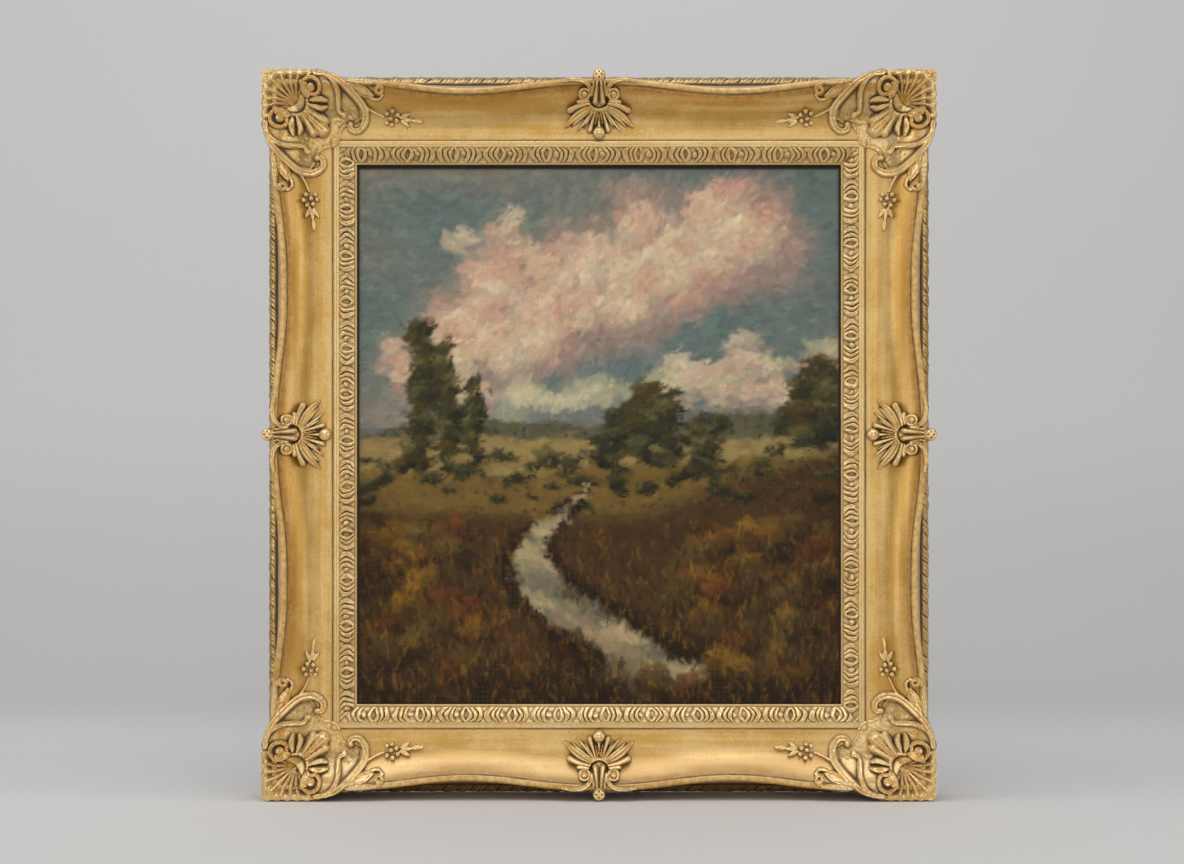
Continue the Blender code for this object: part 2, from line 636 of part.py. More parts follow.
def centre_ornament_mesh():
    """The centre casting about the middle of the rail's outer edge."""
    columns = 2 * math.ceil(CENTRE_HALF_WIDTH / CARVING_GRID) + 1
    lines = np.linspace(-CENTRE_HALF_WIDTH, CENTRE_HALF_WIDTH, columns)
    stations = sweep_stations(SWEEP_END)
    lips = lip_offset(SWEEP_START + SWEEP_EASE, stations)
    rows = [fill_row(seat_row(lip)) for lip in np.interp(np.abs(lines), stations, lips)]
    along = np.tile(lines, (len(rows[0]), 1))
    inward = np.stack([row[:, 0] for row in rows], 1)
    seat = np.stack([row[:, 1] for row in rows], 1)
    drape = np.stack([crest_of(row) for row in rows], 1)
    carving = centre_carving(along.ravel() / CARVING_STEP, inward.ravel() / CARVING_STEP)
    inside, relief = (field.reshape(along.shape) for field in carving)
    face = np.maximum(drape + ORNAMENT_EDGE + relief * CARVING_STEP, seat + ORNAMENT_EDGE)
    usable = np.ones((along.shape[0] - 1, along.shape[1] - 1), bool)
    return body_from_grid("centre_ornament", (along, inward, seat, face), inside, usable, CENTRE_FACES)


def thin_out(thing, ratio):
    """Keep the carving with fewer faces."""
    modifier = thing.modifiers.new("Fewer faces", "DECIMATE")
    modifier.decimate_type = "COLLAPSE"
    modifier.ratio = min(1.0, ratio)
    modifier.use_collapse_triangulate = True


# Canvas and stretcher

def canvas_mesh():
    """Canvas stretched flat and turned back over the stretcher's edges, open behind."""
    front = SHOULDER_HEIGHT - JOINT_GAP
    back = front - CANVAS_THICKNESS - JOINT_GAP - STRETCHER_DEPTH
    corners = ((-1, -1), (1, -1), (1, 1), (-1, 1))

    def ring(inset, height):
        return [(x * (CANVAS_WIDTH / 2 - inset), -height, z * (CANVAS_HEIGHT / 2 - inset))
                for x, z in corners]

    rings = [ring(0.0, front), ring(0.0, back), ring(CANVAS_THICKNESS, back),
             ring(CANVAS_THICKNESS, front - CANVAS_THICKNESS)]
    faces = [(0, 1, 2, 3), (12, 15, 14, 13)]
    for level in range(3):
        for i in range(4):
            j = (i + 1) % 4
            faces.append((4 * level + i, 4 * level + 4 + i, 4 * level + 4 + j, 4 * level + j))
    return closed_mesh("canvas", [point for level in rings for point in level], faces)


def stretcher_mesh(name, half_length, half_outer):
    """One stretcher bar, bevelled in front so that only its outer edge bears on the canvas."""
    front = SHOULDER_HEIGHT - JOINT_GAP - CANVAS_THICKNESS - JOINT_GAP
    back = front - STRETCHER_DEPTH
    wrap = CANVAS_THICKNESS + JOINT_GAP
    section = np.array([(wrap, back), (STRETCHER_WIDTH, back),
                        (STRETCHER_WIDTH, front - STRETCHER_BEVEL), (wrap + STRETCHER_BEVEL, front),
                        (wrap, front)])
    rings = [place_section(section, mitred_end(section, half_length, side), half_outer)
             for side in (-1, 1)]
    return swept_length(name, rings, merge_flat=False)


def build():
    """Make every piece of the painting and its frame."""
    for thing in list(bpy.data.objects):
        bpy.data.objects.remove(thing)
    gilt = make_material("gilt_rail", (0.60, 0.42, 0.17), 0.42, 0.8)
    gilt_slip = make_material("gilt_slip", (0.66, 0.48, 0.23), 0.42, 0.8)
    gilt_cast = make_material("gilt_casting", (0.64, 0.44, 0.20), 0.40, 0.8)
    paint = make_material("oil_paint", (0.26, 0.23, 0.16), 0.50)
    pine = make_material("pine", (0.55, 0.40, 0.24), 0.75)

    picture = bpy.data.objects.new("painting", None)
    picture.location = PICTURE_CENTRE
    bpy.context.scene.collection.objects.link(picture)

    half_wide, half_high = OUTER_WIDTH / 2, OUTER_HEIGHT / 2
    corner_mesh, corner_ratio = corner_ornament_mesh()
    centre_mesh, centre_ratio = centre_ornament_mesh()
    for k, side in enumerate(SIDES):
        turn = k * math.pi / 2
        half_length, half_outer = (half_wide, half_high) if k % 2 == 0 else (half_high, half_wide)
        add_object("rail_" + side, rail_mesh("rail_" + side, half_length, half_outer), gilt,
                   (0, 0, 0), turn, picture)
        add_object("slip_" + side, slip_mesh("slip_" + side, half_length, half_outer), gilt_slip,
                   (0, 0, 0), turn, picture)
        bar_length, bar_outer = ((CANVAS_WIDTH / 2, CANVAS_HEIGHT / 2) if k % 2 == 0
                                 else (CANVAS_HEIGHT / 2, CANVAS_WIDTH / 2))
        add_object("stretcher_" + side, stretcher_mesh("stretcher_" + side, bar_length, bar_outer),
                   pine, (0, 0, 0), turn, picture)
        out = (math.sin(turn), math.cos(turn))
        back_along = (-math.cos(turn), math.sin(turn))
        middle = (out[0] * half_outer, 0.0, out[1] * half_outer)
        corner = (middle[0] + back_along[0] * half_length, 0.0, middle[2] + back_along[1] * half_length)
        casting = add_object("corner_ornament_%d" % (k + 1), corner_mesh, gilt_cast, corner, turn,
                             picture)
        thin_out(casting, corner_ratio)
        casting = add_object("centre_ornament_%d" % (k + 1), centre_mesh, gilt_cast, middle, turn,
                             picture)
        thin_out(casting, centre_ratio)
    add_object("canvas", canvas_mesh(), paint, (0, 0, 0), 0.0, picture)
    bpy.context.view_layer.update()


build()
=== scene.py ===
"""Looks of a framed oil landscape: a gilt swept frame with cast ornaments round a stretched canvas.

The picture faces -Y. Frame parts are drawn with three measures: "along" runs beside one side
of the frame from its middle, "inward" from the frame's outer edge towards the picture, and
"height" from the frame's flat back towards the viewer. All sizes are in metres.
"""
import json
import logging
import math
from dataclasses import dataclass, field, replace
from enum import Enum

import bpy
import numpy as np
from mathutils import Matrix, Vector

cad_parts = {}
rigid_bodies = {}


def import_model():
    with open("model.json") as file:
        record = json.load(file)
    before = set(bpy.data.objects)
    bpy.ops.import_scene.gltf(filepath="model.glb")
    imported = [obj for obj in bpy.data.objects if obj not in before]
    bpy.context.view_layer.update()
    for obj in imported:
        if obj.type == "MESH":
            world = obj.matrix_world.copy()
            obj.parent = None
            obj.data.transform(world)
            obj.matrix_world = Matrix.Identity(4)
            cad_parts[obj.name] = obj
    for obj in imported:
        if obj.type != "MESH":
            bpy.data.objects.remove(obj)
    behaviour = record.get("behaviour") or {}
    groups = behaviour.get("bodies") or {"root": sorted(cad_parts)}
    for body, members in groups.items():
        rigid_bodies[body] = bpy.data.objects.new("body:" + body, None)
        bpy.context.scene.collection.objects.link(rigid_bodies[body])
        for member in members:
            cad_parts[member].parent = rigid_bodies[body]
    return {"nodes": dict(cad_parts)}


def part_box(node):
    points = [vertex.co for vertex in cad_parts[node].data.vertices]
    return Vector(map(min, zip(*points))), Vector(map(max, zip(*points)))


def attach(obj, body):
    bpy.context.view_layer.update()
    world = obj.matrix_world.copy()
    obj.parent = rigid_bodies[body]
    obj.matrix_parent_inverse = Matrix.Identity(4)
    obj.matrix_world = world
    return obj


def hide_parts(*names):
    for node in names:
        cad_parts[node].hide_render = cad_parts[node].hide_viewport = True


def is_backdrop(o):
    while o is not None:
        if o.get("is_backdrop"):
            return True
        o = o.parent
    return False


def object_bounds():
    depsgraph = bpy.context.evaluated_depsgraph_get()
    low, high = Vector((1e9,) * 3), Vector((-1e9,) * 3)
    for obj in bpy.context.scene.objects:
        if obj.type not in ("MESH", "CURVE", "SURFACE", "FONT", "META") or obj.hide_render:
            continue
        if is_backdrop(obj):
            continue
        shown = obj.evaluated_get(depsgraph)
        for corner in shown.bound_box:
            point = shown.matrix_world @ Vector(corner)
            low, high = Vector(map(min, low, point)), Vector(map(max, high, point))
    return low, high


Array = np.ndarray
log = logging.getLogger("framed_landscape")


class Side(Enum):
    """One side of the frame, in the order of its quarter turns about Y."""

    TOP = 0
    RIGHT = 1
    BOTTOM = 2
    LEFT = 3

    @property
    def turn(self) -> float:
        """Angle of this side from the top one, about Y."""
        return self.value * math.pi / 2

    @property
    def word(self) -> str:
        """The side's name as the nodes spell it."""
        return self.name.lower()


# Fields and noise

def ease(share: Array) -> Array:
    """A smooth rise from 0 to 1: half of one minus the cosine of a half turn times the share."""
    return 0.5 - 0.5 * np.cos(np.pi * np.clip(share, 0.0, 1.0))


def lattice_value(i: Array, j: Array, k: Array, seed: int) -> Array:
    """A fixed random value from 0 to 1 for each whole-number cell, by integer hashing."""
    mixed = (i * 374761393 + j * 668265263 + k * 2147483647 + seed * 1274126177) & 0xFFFFFFFF
    mixed = ((mixed ^ (mixed >> 13)) * 1103515245) & 0xFFFFFFFF
    mixed = ((mixed ^ (mixed >> 15)) * 69069) & 0xFFFFFFFF
    return (mixed ^ (mixed >> 16)) / 0xFFFFFFFF


def smooth_noise(points: Array, cell: float, seed: int) -> Array:
    """Value noise in space: the eight corner values of a cell, blended with smooth weights.

    Args:
        points: Places, one row each.
        cell: Size of the lattice cell.
        seed: Picks one of many patterns.

    Returns:
        A value from -1 to 1 for each place.
    """
    scaled = points / cell
    base = np.floor(scaled).astype(np.int64)
    share = scaled - base
    share = share * share * (3 - 2 * share)
    total = np.zeros(len(points))
    for corner in np.ndindex(2, 2, 2):
        weight = np.ones(len(points))
        for axis in range(3):
            weight = weight * (share[:, axis] if corner[axis] else 1 - share[:, axis])
        cells = [base[:, axis] + corner[axis] for axis in range(3)]
        total = total + weight * lattice_value(*cells, seed)
    return 2 * total - 1


def columns_of(*grids: Array) -> Array:
    """Grids of one shape as the columns of one table."""
    return np.stack([grid.ravel() for grid in grids], 1)


def face_noise(along: Array, across: Array, cell: float, seed: int) -> Array:
    """Value noise over a surface measured along and across, from -1 to 1."""
    spots = columns_of(along, across, np.zeros(along.size))
    return smooth_noise(spots, cell, seed).reshape(along.shape)


def blur(values: Array, cells: float) -> Array:
    """A grid smoothed by a bell curve of that many cells, rows first and then columns."""
    reach = max(1, int(math.ceil(3 * cells)))
    kernel = np.exp(-0.5 * (np.arange(-reach, reach + 1) / cells) ** 2)
    kernel = kernel / kernel.sum()
    padded = np.pad(values, reach, mode="edge")
    rows = sum(kernel[k] * padded[k:k + values.shape[0], :] for k in range(2 * reach + 1))
    return sum(kernel[k] * rows[:, k:k + values.shape[1]] for k in range(2 * reach + 1))


# Meshes

def grid_quads(rows: int, columns: int, wrap: bool = False) -> Array:
    """Quads between neighbours of a grid, whose columns may close on themselves."""
    spans = columns if wrap else columns - 1
    row, column = np.meshgrid(np.arange(rows - 1), np.arange(spans), indexing="ij")
    after = (column + 1) % columns
    quads = [row * columns + column, row * columns + after,
             (row + 1) * columns + after, (row + 1) * columns + column]
    return np.stack(quads, -1).reshape(-1, 4)


def sweep_polygons(stations: int, count: int) -> list[Array]:
    """Polygons of a closed section carried through its stations: the sides and both ends."""
    first = np.arange(count)
    ends = np.stack([first[::-1], first + (stations - 1) * count])
    return [grid_quads(stations, count, wrap=True), ends]


def outward(points: Array, polygons: list[Array]) -> list[Array]:
    """The polygons turned to face out, judged by the signed volume of their triangle fans."""
    volume = 0.0
    for group in polygons:
        for k in range(1, group.shape[1] - 1):
            a, b, c = points[group[:, 0]], points[group[:, k]], points[group[:, k + 1]]
            volume += float(np.einsum("ij,ij->", a, np.cross(b, c)))
    return polygons if volume > 0 else [group[:, ::-1] for group in polygons]


def place_object(name: str, data: bpy.types.ID) -> bpy.types.Object:
    """Put a new object with its mesh, lamp or camera into the scene."""
    made = bpy.data.objects.new(name, data)
    bpy.context.scene.collection.objects.link(made)
    return made


def make_piece(name: str, points: Array, polygons: list[Array], fields: dict[str, Array],
               crease: float = 40.0) -> bpy.types.Object:
    """Make one closed, smooth-shaded piece. It also keeps how far each vertex faces up.

    Args:
        name: Name of the object.
        points: Vertices in the scene's frame.
        polygons: Groups of polygons, each with one number of corners.
        fields: Attributes by name: one value, a vector or a colour for each vertex.
        crease: Edges that turn more than this many degrees stay sharp.

    Returns:
        The new object.
    """
    polygons = outward(points, polygons)
    mesh = bpy.data.meshes.new(name)
    mesh.vertices.add(len(points))
    mesh.vertices.foreach_set("co", points.astype(np.float32).ravel())
    corners = np.concatenate([group.ravel() for group in polygons])
    sizes = np.concatenate([np.full(len(group), group.shape[1]) for group in polygons])
    mesh.loops.add(len(corners))
    mesh.loops.foreach_set("vertex_index", corners.astype(np.int32))
    mesh.polygons.add(len(sizes))
    starts = np.concatenate([[0], np.cumsum(sizes)[:-1]])
    mesh.polygons.foreach_set("loop_start", starts.astype(np.int32))
    mesh.update(calc_edges=True)
    normals = np.empty(3 * len(points), np.float32)
    mesh.vertices.foreach_get("normal", normals)
    fields = fields | {"upward": np.clip(normals[2::3], 0, 1)}
    for label, values in fields.items():
        width = 1 if values.ndim == 1 else values.shape[1]
        kind, key = {1: ("FLOAT", "value"), 3: ("FLOAT_VECTOR", "vector"),
                     4: ("FLOAT_COLOR", "color")}[width]
        attribute = mesh.attributes.new(label, kind, "POINT")
        attribute.data.foreach_set(key, values.astype(np.float32).ravel())
    mesh.shade_smooth()
    mesh.set_sharp_from_angle(angle=math.radians(crease))
    log.info("%s: %d vertices, %d triangles", name, len(points), int((sizes - 2).sum()))
    return place_object(name, mesh)


def dress(piece: bpy.types.Object, material: bpy.types.Material, slot: str, *nodes: str) -> None:
    """Give a piece its material, and let it ride and stand for its CAD nodes."""
    piece.data.materials.clear()
    piece.data.materials.append(material)
    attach(piece, "root")
    if nodes:
        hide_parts(*nodes)


# Layout of the frame

@dataclass(frozen=True)
class Layout:
    """Where the picture and the frame's outer edges lie, measured on the CAD nodes."""

    centre: Vector
    half_wide: float
    half_high: float
    canvas_low: Vector
    canvas_high: Vector

    @classmethod
    def from_nodes(cls) -> "Layout":
        """Read the places of the canvas and the rails."""
        low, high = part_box("canvas")
        centre = Vector(((low.x + high.x) / 2, 0.0, (low.z + high.z) / 2))
        wide = (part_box("rail_right")[1].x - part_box("rail_left")[0].x) / 2
        tall = (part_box("rail_top")[1].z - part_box("rail_bottom")[0].z) / 2
        return cls(centre, wide, tall, low, high)

    def halves(self, side: Side) -> tuple[float, float]:
        """Half a side's length, and how far its outer edge lies from the picture's centre."""
        flat = side in (Side.TOP, Side.BOTTOM)
        return (self.half_wide, self.half_high) if flat else (self.half_high, self.half_wide)

    def put(self, side: Side, along: Array, inward: Array, height: Array) -> Array:
        """Scene points of places on a side: the top side's place, turned about Y to that side."""
        x, z = along.ravel(), self.halves(side)[1] - inward.ravel()
        cosine, sine = math.cos(side.turn), math.sin(side.turn)
        placed = np.stack([x * cosine + z * sine, -height.ravel(), z * cosine - x * sine], 1)
        return placed + np.array(self.centre)


# Rails

@dataclass(frozen=True)
class RailSection:
    """Sizes of the swept rail: a back moulding, a neck, a lip with its bead, and a deep cove."""

    rail_width: float = 0.061
    rebate_wall: float = 0.075
    ledge_height: float = 0.020
    step_height: float = 0.0366
    cove_power: float = 2.3
    cove_spacing: float = 1.15
    cove_rise: float = 0.0007
    cove_rise_power: int = 4
    lip_height: float = 0.0625
    lip_width: float = 0.0066
    lip_crest: float = 0.0026
    lip_face: float = 0.0072
    bead_drop: float = 0.0015
    bead_quirk: float = 0.0009
    back_height: float = 0.0225
    back_width: float = 0.0095
    back_side: float = 0.0090
    back_ease: float = 0.0010
    back_sunk: float = 0.0012
    neck_quirk: float = 0.0020
    neck_power: float = 1.6
    lip_inset: float = 0.0065
    lip_sweep: float = 0.0087
    sweep_start: float = 0.0765
    sweep_ease: float = 0.108
    sweep_end: float = 0.012
    mitre_gap: float = 0.0001

    def lip_offset(self, from_corner: Array, from_centre: Array) -> Array:
        """How far the lip stands in: it dips smoothly between the corners and the middle."""
        dip = ease((from_corner - self.sweep_start) / self.sweep_ease)
        dip = dip * ease((from_centre - self.sweep_end) / self.sweep_ease)
        return self.lip_inset + self.lip_sweep * dip

    def face(self) -> tuple[Array, Array, Array, Array]:
        """The lip and the cove, from the lip's outer edge to the step beside the slip.

        The nose is a quarter ellipse up to the crest and the bead a second one down to a quirk.
        The cove falls as a power of the share left of its width, and rises a little at its foot.

        Returns:
            Inward place as a fixed part and a share of the lip's offset, height, and hollowness.
        """
        nose = np.radians(np.linspace(0, 90, 8))
        bead = np.radians(np.linspace(12, 90, 6))
        share = np.linspace(0.0, 1.0, 30)
        start = self.lip_width + self.bead_quirk
        floor = self.step_height - self.cove_rise
        fall = self.lip_height - self.bead_drop - self.bead_quirk - floor
        spread = share ** self.cove_spacing
        fixed = np.concatenate([
            self.lip_crest * (1 - np.cos(nose)),
            self.lip_crest + (self.lip_width - self.lip_crest) * np.sin(bead),
            start + (self.rail_width - start) * spread])
        gain = np.concatenate([np.ones(14), 1 - spread])
        cove = floor + fall * (1 - share) ** self.cove_power
        cove = cove + self.cove_rise * share ** self.cove_rise_power
        height = np.concatenate([self.lip_height - self.lip_face * (1 - np.sin(nose)),
                                 self.lip_height - self.bead_drop * (1 - np.cos(bead)), cove])
        # Hollowness darkens the gilding as dirt and painted shade: in the corners at both ends of
        # the cove, on the lip's outer side and in the bead's quirk.
        ends = 0.55 * np.exp(-share / 0.012) + 0.75 * np.exp(-(1 - share) / 0.02)
        hollow = np.concatenate([0.30 * np.cos(nose) ** 2, 0.7 * np.sin(bead) ** 8, ends])
        return fixed, gain, height, hollow

    def whole(self) -> tuple[Array, Array, Array, Array, Array]:
        """The closed section: back, ledge, cove, lip, neck and a core behind the back moulding.

        Returns:
            Inward place as a fixed part and a share of the lip's offset, height, hollowness, and
            how far the surface is bare wood.
        """
        back = np.array([
            (self.back_ease, 0.0), (self.rebate_wall, 0.0),
            (self.rebate_wall, self.ledge_height),
            (self.rail_width, self.ledge_height)])
        fixed, gain, height, hollow = (values[::-1] for values in self.face())
        share = np.linspace(0.9, 0.0, 10)
        low = self.back_height + self.neck_quirk
        neck_gain = share ** self.neck_power
        neck = self.back_width * (1 - neck_gain)
        neck_height = low + (self.lip_height - self.lip_face - low) * share
        turn = np.radians(np.linspace(90, 0, 7))
        rise = self.back_height - self.back_side
        core = self.back_sunk + (self.back_width - self.back_sunk) * (1 - np.cos(turn))
        core_height = self.back_side + (rise - self.back_sunk) * np.sin(turn)
        side = np.array([(0.0, self.back_side - self.back_sunk), (0.0, self.back_ease)])
        # The neck is darkened as dirt and painted shade, most next to the back moulding. The hidden
        # core and the outer side are darkened too.
        return (np.concatenate([back[:, 0], fixed, neck, core, side[:, 0]]),
                np.concatenate([np.zeros(4), gain, neck_gain, np.zeros(9)]),
                np.concatenate([back[:, 1], height, neck_height, core_height, side[:, 1]]),
                np.concatenate([np.zeros(4), hollow, 0.35 + 0.65 * (1 - share), np.ones(7),
                                np.full(2, 0.5)]),
                np.concatenate([np.ones(4), np.zeros(len(fixed) + 10 + 7), np.full(2, 0.3)]))


@dataclass
class Rail:
    """One mitred rail with its twisted-leaf back moulding."""

    side: Side
    layout: Layout
    section: RailSection
    stations: int = 141
    waviness: float = 0.00012
    leaf_pitch: float = 0.0125
    leaf_slant: float = 1.25
    leaf_flutes: int = 3
    leaf_height: float = 0.0019
    leaf_stations: int = 760
    leaf_rows: int = 15
    lip_zone: float = 0.026

    def spread(self, share: Array, fixed: Array, gain: Array) -> tuple[Array, Array]:
        """Places along and inward on a swept grid whose ends lie in the mitres.

        A station's place is its share of the length that the mitres leave at that depth, and the
        depth follows the lip there, so the two are worked out in turn until they agree.
        """
        half_length = self.layout.halves(self.side)[0]
        along = np.repeat(share[:, None] * half_length, len(fixed), axis=1)
        for _ in range(4):
            lip = self.section.lip_offset(half_length - np.abs(along), np.abs(along))
            inward = fixed[None, :] + gain[None, :] * lip
            along = share[:, None] * (half_length - inward - self.section.mitre_gap)
        return along, inward

    def body(self) -> bpy.types.Object:
        """The swept body: the closed section carried from mitre to mitre."""
        fixed, gain, height, hollow, bare = self.section.whole()
        share = np.linspace(-1.0, 1.0, self.stations)
        along, inward = self.spread(share, fixed, gain)
        height = np.repeat(height[None, :], self.stations, axis=0)
        place = columns_of(along, inward, height)
        uneven = smooth_noise(place, 0.045, 10 + self.side.value)
        uneven = uneven + 0.5 * smooth_noise(place, 0.014, 20 + self.side.value)
        front = np.repeat(((gain > 0) & (bare < 0.5))[None, :], self.stations, axis=0).ravel()
        lifted = height.ravel() + self.waviness * uneven * front
        points = self.layout.put(self.side, along, inward, lifted)
        polygons = sweep_polygons(self.stations, len(fixed))
        drop = self.section.lip_height - height.ravel()
        nose = ease(1.6 - drop / self.section.lip_face) * (inward.ravel() < self.lip_zone)
        fields = {"place": place, "hollow": np.tile(hollow, self.stations),
                  "wear_and_highlight": 0.85 * nose, "bare": np.tile(bare, self.stations)}
        return make_piece("swept_rail_" + self.side.word, points, polygons, fields)

    def leaf_relief(self, along: Array, across: Array) -> Array:
        """Relief of the twisted leaf, from 0 in the furrows to 1 on the ridges.

        A slanting wave along the moulding makes the leaves, and a finer one flutes each leaf. The
        slant turns into an S by a sine of the place across. Slow noise keeps the leaves unlike.
        """
        uneven = face_noise(along, 0.5 * self.leaf_pitch * across, 0.4 * self.leaf_pitch,
                            61 + self.side.value)
        bend = 0.10 * np.sin(2 * np.pi * across) + 0.12 * uneven
        phase = along / self.leaf_pitch + self.leaf_slant * across + bend
        leaf = np.abs(np.sin(np.pi * phase)) ** 0.35
        flute = 0.5 + 0.5 * np.cos(2 * np.pi * (self.leaf_flutes * phase + 0.5 * across))
        return np.clip(leaf * (0.22 + 0.78 * flute ** 0.7) * (1 + 0.35 * uneven), 0.0, 1.1)

    def back_moulding(self) -> bpy.types.Object:
        """The back moulding's carved skin: a closed band over the rail's core.

        Its face follows the moulding's straight side and quarter ellipse, moved out by the leaf
        relief, and its back lies inside the core.
        """
        section = self.section
        turn = np.linspace(0.0, 1.0, self.leaf_rows)
        angle = turn * np.pi / 2
        rise = section.back_height - section.back_side
        base = section.back_width * (1 - np.cos(angle))
        level = section.back_side + rise * np.sin(angle)
        buried = np.array([(section.back_width, section.back_height - 0.003),
                           (0.004, section.back_side)])
        fixed = np.concatenate([base, buried[:, 0]])
        share = np.linspace(-1.0, 1.0, self.leaf_stations)
        along, inward = self.spread(share, fixed, np.zeros(len(fixed)))
        height = np.repeat(np.concatenate([level, buried[:, 1]])[None, :], len(share), axis=0)
        inner = np.zeros(len(buried))
        across = np.repeat(np.concatenate([turn, inner])[None, :], len(share), axis=0)
        relief = self.leaf_relief(along, across)
        fade = np.sin(np.pi * np.clip(0.10 + 0.86 * turn, 0, 1)) ** 0.5
        fade = np.concatenate([fade, inner])
        lift = (relief - 0.35) * self.leaf_height * fade[None, :]
        inward = inward - lift * np.concatenate([np.cos(angle), inner])[None, :]
        height = height + lift * np.concatenate([np.sin(angle), inner])[None, :]
        place = columns_of(along, inward, height)
        points = self.layout.put(self.side, along, inward, height)
        polygons = sweep_polygons(self.leaf_stations, len(fixed))
        # Dirt and painted shade in the leaf's furrows, and more towards the neck under the lip.
        low = np.clip(1.15 - 1.9 * relief, 0, 1) * fade[None, :]
        low = np.maximum(low, ease((across - 0.60) / 0.40))
        fields = {"place": place, "hollow": low.ravel(),
                  "wear_and_highlight": 0.5 * np.clip((relief - 0.75) * 2.5, 0, 1).ravel(),
                  "bare": np.zeros(len(place))}
        return make_piece("back_moulding_" + self.side.word, points, polygons, fields, 70.0)

    def build(self, gilding: bpy.types.Material, back_gilding: bpy.types.Material) -> None:
        """Build both pieces and dress them."""
        dress(self.body(), gilding, "gilt_rail", "rail_" + self.side.word)
        dress(self.back_moulding(), back_gilding, "gilt_rail")


# Sight slip

@dataclass(frozen=True)
class SlipSection:
    """Sizes of the sight slip: a flat fillet, an ornamented convex band and a sight fillet."""

    rail_width: float = 0.061
    rebate_wall: float = 0.075
    ledge_height: float = 0.020
    slip_width: float = 0.0215
    shoulder_height: float = 0.0275
    sight_height: float = 0.0312
    sight_fillet: float = 0.0015
    top_fillet: float = 0.0052
    top_height: float = 0.038
    bulge: float = 0.0019
    lean: float = 0.0006
    quirk: float = 0.0004
    joint_gap: float = 0.0003

    @property
    def sight(self) -> float:
        """Inward place of the sight edge."""
        return self.rail_width + self.slip_width

    def outline(self, rows: int) -> tuple[Array, Array, Array]:
        """The closed section, with the band divided into rows.

        The band runs straight from the sight fillet up to the top fillet, plus a half sine.

        Returns:
            Inward places, heights, and the place across the band from 0 at the sight edge to 1,
            or -1 off the band.
        """
        outer = self.rail_width + self.joint_gap
        below = [(outer, self.ledge_height + self.joint_gap),
                 (self.rebate_wall, self.ledge_height + self.joint_gap),
                 (self.rebate_wall, self.shoulder_height), (self.sight, self.shoulder_height)]
        turn = np.radians([0, 45, 90])
        ease_in = self.sight - self.quirk * (1 - np.cos(turn))
        ease_up = self.sight_height - self.quirk * (1 - np.sin(turn))
        inner = self.sight - self.sight_fillet
        share = np.linspace(0.0, 1.0, rows)
        band_in, band_out = inner - self.quirk, outer + self.top_fillet + self.quirk
        low = self.sight_height - 0.5 * self.quirk
        high = self.top_height - 2 * self.quirk
        swell = np.sin(np.pi * share)
        band = band_in + (band_out - band_in) * share - self.lean * swell
        band_height = low + (high - low) * share + self.bulge * swell
        fillet = [
            (outer + self.top_fillet, self.top_height),
            (outer + 0.62 * self.top_fillet, self.top_height),
            (outer + 0.56 * self.top_fillet, self.top_height - 0.25 * self.quirk),
            (outer + 0.50 * self.top_fillet, self.top_height),
            (outer + self.quirk, self.top_height),
            (outer, self.top_height - self.quirk)]
        below, fillet = np.array(below), np.array(fillet)
        inward = np.concatenate([below[:, 0], ease_in, [inner], band, fillet[:, 0]])
        height = np.concatenate([below[:, 1], ease_up, [self.sight_height + self.quirk],
                                 band_height, fillet[:, 1]])
        across = np.concatenate([np.full(8, -1.0), share, np.full(len(fillet), -1.0)])
        return inward, height, across


@dataclass(frozen=True)
class Crest:
    """One curved ridge across the slip's band, in half widths of the band."""

    place: float
    bow: float
    thick: float
    height: float


